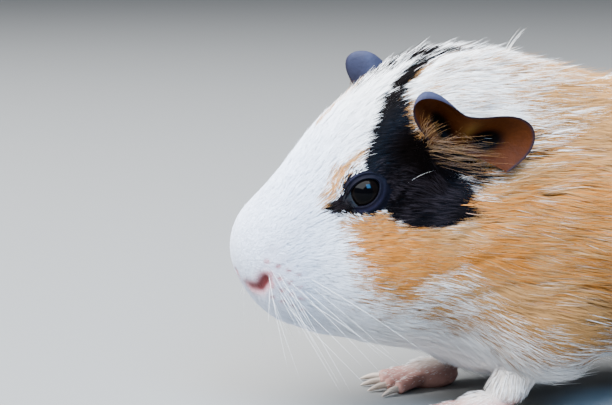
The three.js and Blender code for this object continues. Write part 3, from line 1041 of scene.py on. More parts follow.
@dataclass
class Coat:
    """All the tufts of the body, in bands from the nose to the rump."""

    strands: Strands
    hide: Array
    finish: Material
    seed: int = 11
    whisker_pad: tuple[Triple, Triple] = ((12.0, 9.0, 44.5), (14.0, 13.5, 38.0))
    lock_size: Ramp = Ramp((0, 30, 60, 110), (1.3, 1.9, 3.0, 4.6))
    gathered: Ramp = Ramp((0, 40, 80), (0.15, 0.35, 0.6))  # how far a lock draws its tips together
    spread: Ramp = Ramp((0, 40, 110), (0.09, 0.11, 0.16))  # how far hairs stray from the lie, in radians
    rough: Ramp = Ramp((15, 60), (0.16, 0.32))  # how much higher one lock stands than another
    lift: Ramp = Ramp((12, 35), (0.62, 0.86))  # how high tips stand, as a share of the coat's depth
    varied: Ramp = Ramp((10, 50, 100), (0.7, 0.95, 1.1))  # how much tufts differ in shade
    strays: float = 0.03  # the share of the tufts that stand out

    def roots(self, band: Band, rng: Random) -> tuple[Array, Array, Array]:
        """Random places on the skin's grid inside a band, as many as it has tufts.

        A cell is chosen by its area times the coat's cover there, and the place in it is bilinear.

        Args:
            band: The band.
            rng: The source of random numbers.

        Returns:
            The places, the skin's normals there, and where they lie on its unwrap.
        """
        g = np.concatenate([self.hide, self.hide[:, :1]], axis=1)
        corners = a, b, c, d = g[:-1, :-1], g[1:, :-1], g[1:, 1:], g[:-1, 1:]
        middle = (a + b + c + d) / 4
        area = np.linalg.norm(np.cross(c - a, d - b), axis=-1) / 2
        inside = (middle[..., 1] >= band.start) & (middle[..., 1] < band.end)
        weight = np.where(inside, area * self.strands.lie.cover(middle), 0.0).ravel()
        chosen = rng.choice(len(weight), band.tufts, p=weight / weight.sum())
        i, j = np.divmod(chosen, middle.shape[1])
        s, t = rng.random((2, band.tufts, 1))
        uv = np.hstack([(i[:, None] + s) / middle.shape[0], (j[:, None] + t) / middle.shape[1]])
        p, n = self.strands.form.settle(in_cells(corners, (i, j), s, t))
        return p, n, 0.01 + 0.96 * uv

    def heights(self, p: Array, n: Array, number: Array, pad: Array, rng: Random) -> Array:
        """How high the tips stand: less by the eyes, more on the crown, and most for the strays.

        Args:
            p: Roots.
            n: Normals there.
            number: A random number from 0 to 1 that the tufts of a lock share.
            pad: How far each root belongs to the whisker pad.
            rng: The source of random numbers.

        Returns:
            A share of the coat's depth for each tuft.
        """
        y = p[:, 1]
        rough = self.rough.at(y) + 0.7 * pad
        lift = self.lift.at(y) + rough * (number - 0.5) + rng.normal(scale=0.07, size=len(p))
        lift *= 0.65 + 0.35 * ease(5.8, 9.0, mirrored_distance(p, EYE_AT))
        lift += (0.15 + 0.5 * number) * bell(y, 54, 16) * ease(0.6, 0.9, n[:, 2])
        return np.where(rng.random(len(p)) < self.strays, lift * 1.35, lift)

    def tones_and_painted_shade(self, p: Array, number: Array, black: Array, rng: Random) -> Array:
        """How light the tufts are: random from tuft to tuft, with painted shade on black ones high up, from
        the cheeks back and towards the belly.

        Args:
            p: Roots.
            number: A random number from 0 to 1 that the tufts of a lock share.
            black: Each tuft's share of black.
            rng: The source of random numbers.

        Returns:
            One shade from 0 to 1 for each tuft.
        """
        y, z = p[:, 1], p[:, 2]
        shade = 0.5 + self.varied.at(y) * (0.5 * (number - 0.5) + rng.normal(scale=0.2, size=len(p)))
        # painted shade: black tufts high up are darkened against the light from above, tufts from the cheeks
        # back and low towards the belly are darkened as if in shade
        shade -= 0.35 * black * ease(64, 76, z)
        shade -= 0.2 * ease(45, 80, y) + 0.55 * (1 - ease(24, 50, z)) * ease(15, 40, y)
        return np.clip(shade, 0, 1)

    def tufts(self, band: Band, rng: Random) -> Shell:
        """The tufts of a band. Neighbours lean together in locks, and a few stand out.

        Args:
            band: The band.
            rng: The source of random numbers.

        Returns:
            The tufts as one shell.
        """
        lie = self.strands.lie
        p, n, uv = self.roots(band, rng)
        y = p[:, 1]
        middle, numbers = locks(p, self.lock_size.at(y), self.seed)
        gather = middle - p
        gather -= n * np.sum(gather * n, -1, keepdims=True)
        pad = bell(mirrored_distance(p, *self.whisker_pad), 0, 5.5)
        spread = self.spread.at(y) + 0.28 * pad
        angle = (numbers[:, 0] - 0.5) * 2.4 * spread + rng.normal(scale=0.5, size=len(p)) * spread
        lift = self.heights(p, n, numbers[:, 1], pad, rng)
        length = lie.length(p) * rng.uniform(0.72, 1.12, len(p))
        pull = gather * self.gathered.at(y)[:, None]
        path, normals = self.strands.comb(p, n, length, lift, angle, pull, np.array(STEPS[band.rings]))
        width = lie.width(p) * rng.uniform(0.7, 1.15, len(p))
        seen = 0.5 * (path[:, -2] + path[:, -1])
        marking = self.strands.markings.hairs(seen, numbers[:, 2], rng)
        look = np.stack([self.tones_and_painted_shade(p, numbers[:, 2], marking[:, 0], rng), pinkness(seen)])
        return self.strands.blades(path, normals, width, band.rings, marking, look, uv)

    def grow(self) -> None:
        """Grows each band as its own piece."""
        for k, band in enumerate(BANDS):
            tufts = self.tufts(band, np.random.default_rng(self.seed + k))
            build(band.name, tufts.facing_out(), [self.finish])


@dataclass
class FootCoat:
    """Short hair on the tops of the feet, longer on the wrists and the heels."""

    strands: Strands
    seed: int = 51
    rooted: float = 0.25  # how deep a hair starts under the skin
    steps: tuple[tuple[float, float], ...] = ((0.45, 0.7), (1.0, 1.0))  # shares of the length and the lift

    def tufts(self, foot: "Foot", order: int) -> Shell:
        """One left foot's tufts, combed down and forwards to the claws.

        Args:
            foot: The foot.
            order: Which quarter of the unwrap the foot takes, from 0 to 3.

        Returns:
            The tufts, as for the coat.
        """
        rng = np.random.default_rng(self.seed + order)
        skin = foot.skin()
        corners = a, b, c, d = tuple(skin.points[skin.quads[:, i]] for i in range(4))
        middle = (a + b + c + d) / 4
        area_normal = np.cross(c - a, d - b)
        normal = unit(area_normal)
        nails = [foot.toe_points(turned, [1.0], [foot.radius])[0] for turned in foot.toes]
        nail = np.min([np.linalg.norm(middle - at, axis=-1) for at in nails], 0)
        upper = ease(-0.25, 0.35, normal[:, 2]) + ease(4.5, 7.5, middle[:, 2])
        cover = np.clip(upper, 0, 1) * ease(1.2, 2.6, middle[:, 2]) * ease(1.5, 3.2, nail)
        weight = np.linalg.norm(area_normal, axis=-1) * cover * (1 + 1.2 * ease(5, 9, middle[:, 2]))
        chosen = rng.choice(len(weight), foot.tufts, p=weight / weight.sum())
        s, t = rng.random((2, foot.tufts, 1))
        p = in_cells(corners, chosen, s, t)
        n = normal[chosen]
        high = ease(4.5, 12, p[:, 2])
        spread = rng.normal(scale=0.16, size=p.shape)
        lie = along(np.array([0.0, -1.0, -0.25]) + np.array([0, 0.75, -1.2]) * high[:, None] + spread, n)
        length = (1.7 + 2.9 * high) * rng.uniform(0.7, 1.15, len(p))
        lift = (0.3 + 0.75 * high) * rng.uniform(0.6, 1.2, len(p))
        path = [p - self.rooted * n]
        path += [p + lie * (length * out)[:, None] + n * (lift * up)[:, None] for out, up in self.steps]
        marking = np.stack([0 * high, 0 * high, 0.25 * rng.random(len(p))], -1)
        shade = np.clip(rng.normal(0.5, 0.15, len(p)), 0, 1)
        pink = 0.35 * (1 - high) * rng.random(len(p))
        around = np.arctan2(n[:, 0], n[:, 2]) / (2 * np.pi) + 0.5
        reach = (p[:, 1] - p[:, 1].min()) / np.ptp(p[:, 1])
        uv = 0.01 + np.stack([0.96 * reach, (order + 0.94 * around) / 4], -1)
        width = (0.085 + 0.05 * high) * rng.uniform(0.7, 1.15, len(p))
        normals = np.repeat(n[:, None], 3, axis=1)
        look = np.stack([shade, pink])
        return self.strands.blades(np.stack(path, 1), normals, width, 1, marking, look, uv)

    def grow(self, finish: Material) -> None:
        """Grows the hair of all four feet as one piece."""
        made = [self.tufts(foot, order).facing_out() for order, foot in enumerate((*FEET, *FEET))]
        build("coat_feet", join(made[:2] + [shell.mirrored() for shell in made[2:]]), [finish])


def pinkness(p: Array) -> Array:
    """How much pink skin shows: most at the nostrils, lips and follicles, fading over the muzzle.

    Args:
        p: Points.

    Returns:
        One share for each point.
    """
    near = bell(mirrored_distance(p, *NOSTRIL), 0, 2.6) + bell(mirrored_distance(p, *PHILTRUM), 0, 1.3)
    near += 0.8 * bell(mirrored_distance(p, *MOUTH), 0, 2.4)
    gaps = np.linalg.norm((p[..., None, :] - whisker_roots())[..., 1:], axis=-1).min(axis=-1)
    near += 1.1 * bell(gaps, 0, 0.6) * ease(9, 11, np.abs(p[..., 0]))
    near += 0.16 * bell(mirrored_distance(p, (13.0, 10.5, 46.0), (13.0, 11.5, 40.0)), 0, 4.5)
    return np.clip(near + 0.13 * (1 - ease(6, 24, p[..., 1])), 0, 1)


# --- eyes
@dataclass
class Eye:
    """An eyeball with the lids that close round it, on the left side."""

    form: Form
    at: Triple = EYE_AT
    radius: float = EYE_RADIUS
    lid: float = 0.7  # thickness of the lids' margin
    opening: tuple[float, float] = (4.5, 3.4)  # half width and half height
    tilt: float = -34.0  # how far the front corner hangs, in degrees
    fall: float = 1.2  # how steeply the lids slope down from their margin
    reach: float = 10.2  # how far the lids run out under the coat
    columns: int = 80
    blend: float = 0.45  # how softly the lids run into the skin
    bulge: float = 0.035  # how far the cornea stands out, as a share of the radius

    def axes(self) -> tuple[Array, Array, Array, Array]:
        """Where the eye is and how it is turned.

        Returns:
            Its middle, and its axes outwards from the head, forwards along it and up.
        """
        centre = np.array(self.at)
        out = unit(self.form.settle(centre + np.array([7.0, 0, 0]))[1])
        out = unit(out * np.array([1.0, 1.0, 0.6]))
        forward = along(np.array([0.0, -1.0, 0.0]), out)
        up = np.cross(forward, out)
        up = up * np.sign(up[2])
        c, s = math.cos(math.radians(self.tilt)), math.sin(math.radians(self.tilt))
        return centre, out, forward * c + up * s, up * c - forward * s

    def margin(self, a: Array) -> Array:
        """How far the lids' edge is from the axis at an angle from the front corner.

        It is an oval, drawn out to a point at the front corner and a little at the back one.
        """
        oval = 1 / np.sqrt((np.cos(a) / self.opening[0]) ** 2 + (np.sin(a) / self.opening[1]) ** 2)
        back = np.abs(np.mod(a, 2 * np.pi) - np.pi)
        front = np.pi - back
        return oval + 1.5 * bell(front, 0, 0.34) + 0.25 * bell(back, 0, 0.3) - 0.3 * np.sin(a)

    def lids(self) -> Shell:
        """The lids as a closed ring.

        Going in from the hidden outer edge, the surface is the smooth maximum of the skin's height and
        that of a cone that rises to the margin, with a crease and a soft ridge; at the margin it rolls
        onto the ball, and it comes back underneath.
        """
        centre, out, forward, up = self.axes()
        a = np.arange(self.columns) * 2 * np.pi / self.columns
        spoke = np.cos(a)[:, None] * forward + np.sin(a)[:, None] * up
        edge = self.margin(a)[None]
        share = np.linspace(0, 1, 46)[:, None] ** 0.8
        rho = self.reach + (edge - self.reach) * share
        skin = self.form.crossing(centre + rho[..., None] * spoke, out, -6.0, 14.0, 18)
        past = rho - edge
        cone = np.sqrt((self.radius + self.lid) ** 2 - edge**2) - self.fall * past - 0.12 * past**2
        height = self.blend * np.logaddexp(skin / self.blend, cone / self.blend)
        above = np.maximum(np.sin(a), 0) ** 0.7
        crease = (0.16 + 0.22 * above) * bell(past, 0.75, 0.32)
        swell = (0.1 + 0.34 * above) * bell(past, 1.45, 0.45)
        height -= crease - swell
        height -= 1.1 * (1 - ease(0.0, 0.16, share))
        turn_in = np.linspace(0, np.pi / 2, 8)[1:, None]
        rim_rho = edge - 0.42 * np.sin(turn_in)
        ball = np.sqrt(np.maximum(self.radius**2 - rim_rho**2, 0.0))
        rim_height = ball + (height[-1:] - ball) * np.cos(turn_in) ** 1.2
        outer = np.full_like(edge, self.reach)
        under_rho = np.vstack([edge + 0.5, edge + 1.6, np.full_like(edge, 7.2), outer])
        under_height = np.vstack([ball[-1:] - 0.9, ball[-1:] - 2.4, height[:1] - 3.2, height[:1] - 1.6])
        rho = np.vstack([rho, rim_rho, under_rho])
        height = np.vstack([height, rim_height, under_height])
        points = centre + rho[..., None] * spoke + height[..., None] * out
        shell = Shell(points.reshape(-1, 3), lattice(len(rho) + 1, self.columns) % rho.size)
        wet = bell(rho - edge, -0.3, 0.32)
        dark = 1 - ease(2.4, 4.6, rho - edge)
        # painted highlight: where the lids' ridges take the blue-grey sheen, above and below the eye
        upper = 0.45 * bell(a, math.radians(80), 0.8) * bell(rho - edge, 1.5, 0.5)
        ridge = upper + bell(a, math.radians(285), 0.95) * bell(rho - edge, 0.8, 0.55)
        shell.values["marking"] = Markings().shares(shell.points)
        shell.values["zone"] = np.stack([wet, dark, ridge], -1).reshape(-1, 3)
        return shell.facing_out()

    def ball(self) -> Shell:
        """The eyeball: a globe whose cornea bulges a little about the axis."""
        centre, out, _, _ = self.axes()
        made = globe((0, 0, 0), (self.radius,) * 3, 40, 56)
        facing = unit(made.points) @ out
        bulge = 1.0 + self.bulge * ease(0.72, 1.0, facing)
        made.points = made.points * bulge[:, None] + centre
        made.values["axis"] = np.stack([facing, facing * 0, facing * 0], -1)
        return made.facing_out()


# --- ears
@dataclass(frozen=True)
class Carriage:
    """How an ear is held: swung back, then pricked up, both in degrees about its root, and lifted."""

    prick: float
    swing: float
    lift: float


CARRIAGES = {"left": Carriage(0.0, 0.0, 0.0), "right": Carriage(25.0, 9.0, 3.0)}


@dataclass(frozen=True)
class Lobe:
    """A lobe of an ear's rim: how far it adds to the reach, at which angle and over what width."""

    at: float
    reach: float
    width: float

    def added(self, angle: Array) -> Array:
        """What the lobe adds to the reach at an angle."""
        return self.reach * bell(angle, self.at, self.width)


@dataclass(frozen=True)
class Pit:
    """A hollow of the ear's inside, at an angle and a share of the way out, with its width in both."""

    at: float
    out: float
    width: float
    length: float
    depth: float

    def share(self, angle: Array, t: Array) -> Array:
        """How much of the pit there is at a place, from 0 to 1."""
        return bell(angle, self.at, self.width) * bell(t, self.out, self.length)


@dataclass
class Ear:
    """A naked ear of two lobes that stands out over its opening like an awning, on the left side."""

    carriage: Carriage
    start: float = -22.0
    end: float = 160.0
    base: float = 10.1
    front: Lobe = Lobe(126.5, 14.9, 19.5)
    back: Lobe = Lobe(18, 9.2, 31)
    flare: float = 7.6
    front_curl: float = 2.6
    hem: tuple[float, float] = (0.74, 5.0)  # where the front lobe's rim starts to hang, and how far
    thickness: float = 0.95
    pits: tuple[Pit, ...] = (Pit(128, 0.34, 24, 0.2, 3.2), Pit(19, 0.44, 26, 0.2, 3.0))
    ridge: Pit = Pit(74, 0.56, 16, 0.28, -1.5)
    columns: int = 96
    rows: int = 34
    rim_rows: int = 8  # so many of the rows crowd towards the rim
    thinnest: float = 0.004  # the square of the thickness's least share

    def middle(self, angle: Array, t: Array) -> Array:
        """The leaf's middle surface, measured from the root.

        The rim's reach at an angle is the base plus both lobes. A point at a share t of it is at
        (out, reach t cos a, reach t sin a - 0.12 out t - hem), where out = flare t^1.5 + curl f t^4,
        f being the front lobe's share. The pits and the ridge between them move it along x.

        Args:
            angle: Angles about the root, in degrees.
            t: Shares of the way out to the rim.

        Returns:
            One point for each.
        """
        front = self.front.added(angle)
        share = front / self.front.reach
        reach = (self.base + front + self.back.added(angle)) * t
        a = np.radians(angle)
        out = self.flare * t**1.5 + self.front_curl * share * t**4
        hem = self.hem[1] * share * (np.maximum(0, t - self.hem[0]) / (1 - self.hem[0])) ** 2
        up = reach * np.sin(a) - 0.12 * out * t - hem
        folds = sum(pit.depth * pit.share(angle, t) for pit in (*self.pits, self.ridge))
        return np.stack([out - folds, reach * np.cos(a), up], -1)

    def place(self, p: Array) -> Array:
        """Points from the root's own axes, carried as this ear is: swung back, pricked up, then lifted.

        Args:
            p: Points measured from the root.

        Returns:
            Points in body coordinates.
        """
        s, q = math.radians(self.carriage.swing), math.radians(self.carriage.prick)
        x, y, z = p[..., 0], p[..., 1], p[..., 2]
        y, z = y * math.cos(s) + z * math.sin(s), z * math.cos(s) - y * math.sin(s)
        x, z = x * math.cos(q) - z * math.sin(q), z * math.cos(q) + x * math.sin(q)
        return np.stack([x, y, z], -1) + np.array(EAR_ROOT) + np.array([0, 0, self.carriage.lift])

    def normal(self, angle: Array, t: Array) -> Array:
        """The outward normal of the middle surface, from small steps."""
        p = self.middle(angle, t)
        return unit(np.cross(self.middle(angle, t + 0.001) - p, self.middle(angle + 0.05, t) - p))

    def carried(self, shell: Shell) -> Shell:
        """A shell made in the root's own axes, moved to where this ear carries it."""
        shell.normals = self.place(shell.normals) - self.place(np.zeros(3))
        shell.points = self.place(shell.points)
        return shell

    def leaf(self) -> Shell:
        """The ear as a closed leaf. Its thickness thins to nothing at the rim and at both ends.

        The thickness is full * sqrt(1 - t^8) * sqrt(1 - e^10), e being how far the angle is towards an
        end, from 0 in the middle to 1.
        """
        angle = np.linspace(self.start, self.end, self.columns)[:, None]
        near_rim = 1 - 0.1 * np.linspace(0.86, 0, self.rim_rows) ** 1.8
        t = np.concatenate([np.linspace(0.1, 0.9, self.rows - self.rim_rows), near_rim])[None]
        end = np.abs(2 * (angle - self.start) / (self.end - self.start) - 1)
        thick = self.thickness * np.sqrt(np.maximum(1 - t**8, self.thinnest))
        thick = thick * np.sqrt(np.maximum(1 - end**10, self.thinnest))
        angle, t = np.broadcast_arrays(angle, t)
        p, n = self.middle(angle, t), self.normal(angle, t)
        inner, outer = p + n * thick[..., None] / 2, p - n * thick[..., None] / 2
        loop = np.concatenate([inner, outer[:, ::-1]], axis=1)
        loops = loop.shape[1]
        quads = lattice(self.columns, loops)
        j = np.arange(self.rows - 1)
        first = np.stack([j, j + 1, loops - 2 - j, loops - 1 - j], -1)
        last = (first + (self.columns - 1) * loops)[:, ::-1]
        shell = Shell(self.place(loop).reshape(-1, 3), np.vstack([quads, first, last]))
        t, angle = np.hstack([t, t[:, ::-1]]), np.hstack([angle, angle[:, ::-1]])
        back = np.hstack([np.zeros_like(p[..., 0]), np.ones_like(p[..., 0])])
        # the pits' share, which the finish darkens as painted shade
        pits = np.max([pit.share(angle, t) for pit in self.pits], axis=0)
        shell.values["marking"] = np.stack([ease(0.955, 0.99, t), pits, back], -1).reshape(-1, 3)
        # how much painted shade the inside takes towards the root
        deep = 1 - ease(0.2, 0.75, t)
        shell.values["zone"] = np.stack([self.ridge.share(angle, t), deep, back], -1).reshape(-1, 3)
        return shell.facing_out()


# --- feet and claws
SOLE_CUT = 0.6  # how much of the flesh the flat sole cuts off
CLAW_WIDTHS = (0, 0.8, 0.95, 1, 0.98, 0.95, 0.9, 0.83, 0.75, 0.65, 0.53, 0.4, 0.26, 0)  # root to tip


@dataclass(frozen=True)
class Foot:
    """A naked foot with its toes and claws, on the left side."""

    name: str
    at: tuple[float, float]
    pad: Triple
    height: float
    toes: tuple[float, ...]
    length: float
    radius: float
    spread: float
    shank: tuple[Triple, ...]
    shank_radii: tuple[float, ...]
    tufts: int
    voxel: float  # the grain of the grid that the foot's parts are fused on
    claw: float = 5.5
    claw_radius: float = 0.92

    def toe_points(self, turned: float, shares: list[float], heights: list[float]) -> Array:
        """Points along a toe.

        Args:
            turned: How far the toe points outwards, in degrees.
            shares: Shares of its length, from where it starts on the pad.
            heights: The points' heights over the lowest flesh.

        Returns:
            One point for each share.
        """
        a = math.radians(turned)
        middle = (self.toes[0] + self.toes[-1]) / 2
        x = self.at[0] + self.spread * (turned - middle) / 12
        y = self.at[1] - (self.pad[1] - self.radius) + 0.05 * abs(turned - middle)
        ahead = self.length * np.array(shares)
        return np.stack([x + math.sin(a) * ahead, y - math.cos(a) * ahead, np.array(heights) - SOLE_CUT], -1)

    def flesh(self) -> Shell:
        """The pad, the shank and the toes, still as separate closed shapes."""
        r = self.radius
        shapes = [globe((*self.at, self.height - SOLE_CUT), self.pad, 20, 28)]
        shank = np.array([(self.at[0] + x, self.at[1] + y, z - SOLE_CUT) for x, y, z in self.shank])
        t = np.linspace(0, 1, 14)
        radii = np.interp(t, [0, 0.5, 1], self.shank_radii) * np.sqrt(np.maximum(1 - (2 * t - 1) ** 10, 0))
        shapes.append(tube(catmull_rom(shank, t)[None], radii, 20))
        for turned in self.toes:
            heights = [r + 1.6, r + 1.7, r + 1.1, r + 0.5, r]
            line = self.toe_points(turned, [-0.35, 0.1, 0.45, 0.75, 0.98], heights)
            t = np.linspace(0, 1, 22)
            knuckles = 1 + 0.1 * bell(t, 0.45, 0.1) + 0.12 * bell(t, 0.84, 0.09)
            radii = r * (1.06 - 0.26 * t) * knuckles * np.sqrt(np.maximum(1 - (2 * t - 1) ** 12, 0))
            shapes.append(tube(catmull_rom(line, t)[None], radii, 16))
        return join([Shell(s.points, s.quads, s.tris).facing_out() for s in shapes])

    def skin(self) -> Shell:
        """The foot as one smooth shape: its parts are fused on a fine grid and eased, with a flat sole.

        Returns:
            The foot, with the values that its finish reads.
        """
        rough = self.flesh()
        holder = linked("fused", bare_mesh("fused", rough.points, rough))
        fuse = holder.modifiers.new("fuse", "REMESH")
        fuse.mode, fuse.voxel_size = "VOXEL", self.voxel
        smooth = holder.modifiers.new("smooth", "SMOOTH")
        smooth.factor, smooth.iterations = 0.5, 5
        made = holder.evaluated_get(bpy.context.evaluated_depsgraph_get()).to_mesh()
        points, quads = np.empty(len(made.vertices) * 3), np.empty(len(made.loops), np.int32)
        made.vertices.foreach_get("co", points)
        made.loops.foreach_get("vertex_index", quads)
        bpy.data.objects.remove(holder)
        points = points.reshape(-1, 3)
        points[:, 2] = np.maximum(points[:, 2], 0.0)
        shell = Shell(points, quads.reshape(-1, 4).astype(int))
        high = ease(4.5, 9.0, points[:, 2])
        shell.values["marking"] = np.stack([high * 0, high * 0, 0.25 * high], -1)
        # the creases' share, which the finish darkens as painted shade
        lines = np.zeros(len(points))
        for turned in self.toes:
            for share in (0.2, 0.38, 0.56):
                knuckle = self.toe_points(turned, [share], [2.6])[0]
                lines = np.maximum(lines, bell(np.linalg.norm(points - knuckle, axis=-1), 2.2, 0.7))
        shell.values["zone"] = np.stack([lines, high, 1 - ease(0.3, 1.6, points[:, 2])], -1)
        return shell.facing_out()

    def claws(self) -> Shell:
        """The foot's claws: curved cones, a little deeper than wide."""
        r = self.radius
        lines = []
        for turned in self.toes:
            shares = [1 + k * self.claw / self.length for k in (-0.42, -0.1, 0.3, 0.7, 1.0)]
            heights = [r - 0.2, r + 0.15, r + 0.1, r - 0.45, SOLE_CUT + 0.45]
            spine = self.toe_points(turned, shares, heights)
            lines.append(catmull_rom(spine, np.linspace(0, 1, len(CLAW_WIDTHS))))
        side = np.tile([1.0, 0.0, 0.0], (len(lines), 1))
        radii = self.claw_radius * np.array(CLAW_WIDTHS)
        return tube(np.array(lines), radii, 12, side, 1.15).facing_out()


FORE_PAD, HIND_PAD = (5.6, 8.5, 4.6), (5.8, 17, 5.2)
FORE_SHANK = ((0, 5, 6), (1, 9, 14), (2, 15, 26))
HIND_SHANK = ((0, 11, 6), (-1, 13, 14), (-2, 12, 24))
FORE_TOES, HIND_TOES = (-24, -7, 9, 27), (-14, 2, 18)
FEET = (
    Foot("front", (20, 66), FORE_PAD, 3.9, FORE_TOES, 9, 2, 1.9, FORE_SHANK, (4.6, 5, 7), 1500, 0.5),
    Foot("hind", (31, 172), HIND_PAD, 4.4, HIND_TOES, 11, 2.3, 2.5, HIND_SHANK, (5.2, 6, 8), 1800, 0.62),
)


# --- single hairs
@dataclass
class Wisps:
    """Thin single hairs that stand clear of the coat, each a curved line from its root.

    A hair's point at a share s of its length is root + length * (s * heading + s^2 * bend).
    """

    roots: Array
    heading: Array
    bend: Array
    length: Array
    width: float
    stations: int = 9
    sides: int = 4

    def shell(self, shade: Array) -> Shell:
        """The hairs as one shell.

        Args:
            shade: A shade for each hair.

        Returns:
            The shell, with each hair's shade and the share of its length stored at every point.
        """
        s = np.linspace(0, 1, self.stations)
        arc = s[:, None] * self.heading[:, None] + (s**2)[:, None] * self.bend[:, None]
        path = self.roots[:, None] + self.length[:, None, None] * arc
        taper = self.width * np.concatenate([[0], np.linspace(1, 0.25, self.stations - 2), [0]])
        made = tube(path, taper, self.sides, np.cross(self.heading, [0.3, 0.2, 1.0]))
        each = len(made.points) // len(path)
        inner = np.repeat(s[1:-1], self.sides)
        share = np.tile(np.concatenate([inner, [0, 1]]), len(path))
        tone = np.repeat(shade, each)
        made.values["strand"] = np.stack([tone, share, 0 * share], -1)
        return made.facing_out()


@dataclass(frozen=True)
class Spray:
    """Hairs rooted along a line, with the way they point and droop as shares of their length."""

    line: tuple[Triple, ...]
    count: int
    heading: Triple
    bend: Triple
    length: tuple[float, float]
    spread: float = 0.1
    scatter: float = 0.7  # how far roots lie from the line, in millimetres
    stand: float | None = None  # how far they lean out from the skin, where they are rooted in it


EAR_FRONT = ((8.8, -13.4, 6.6), (8.4, -12.0, 4.4), (7.6, -10.4, 2.4))
EAR_HEM = ((7.4, -11.2, 4.0), (6.2, -10.2, 2.2), (4.6, -9.2, 0.4))
EAR_FOOT = ((1.6, -7.8, -1.0), (2.0, -3.0, -2.6), (3.4, 3.6, -3.8))
EAR_SPRAYS = (  # in the ear's own axes
    Spray(EAR_FRONT, 52, (0.2, 0.3, 0.92), (0, 0.35, -0.2), (3, 7.5), 0.36, 0.55),
    Spray(EAR_HEM, 30, (0.22, 0.96, -0.12), (0, 0.04, 0.08), (9, 20), 0.11, 0.7),
    Spray(((6.4, -10.4, 2.4), (4.8, -8.8, 0.2)), 9, (0.16, 0.86, 0.42), (0, 0.1, -0.1), (7, 12), 0.12, 0.5),
    Spray(((2.4, 0.6, 3.4), (3.2, -0.8, 5.6)), 26, (0.4, 0.6, -0.35), (0, 0.2, 0.1), (2, 4), 0.35, 1.1),
    Spray(EAR_FOOT, 44, (0.26, 0.96, -0.03), (-0.04, 0, -0.09), (9, 20), 0.13, 1.5),
)
BROW_HAIR = ((22.0, 42.6, 64.2), (22.1, 43.0, 64.4))
TEMPLE_HAIRS = ((23.4, 52.5, 68.4), (24.6, 55, 67.6))
BROW_SPRAYS = (
    Spray(BROW_HAIR, 1, (0.26, 0.66, 0.86), (0, 0.25, -0.22), (9, 10), 0.02, 0.2, 0.1),
    Spray(TEMPLE_HAIRS, 5, (0.28, 0.96, -0.08), (0, 0, -0.05), (9, 13), 0.06, 0.7, 0.25),
    Spray(((15.4, 41.5, 86), (17.2, 43, 84)), 5, (0.1, 0.8, 0.5), (0, 0.2, -0.25), (6, 9), 0.15, 0.7, 0.4),
    Spray(((18, 28, 71), (18.5, 30, 72)), 4, (0.2, 0.6, 0.7), (0, 0.2, -0.3), (5, 8), 0.15, 0.7, 0.5),
)
NAPE_LOCK = ((6.0, 75.0, 92.0), (5.5, 78.0, 100.0), (4.5, 83.5, 106.3))  # root, bow and tip


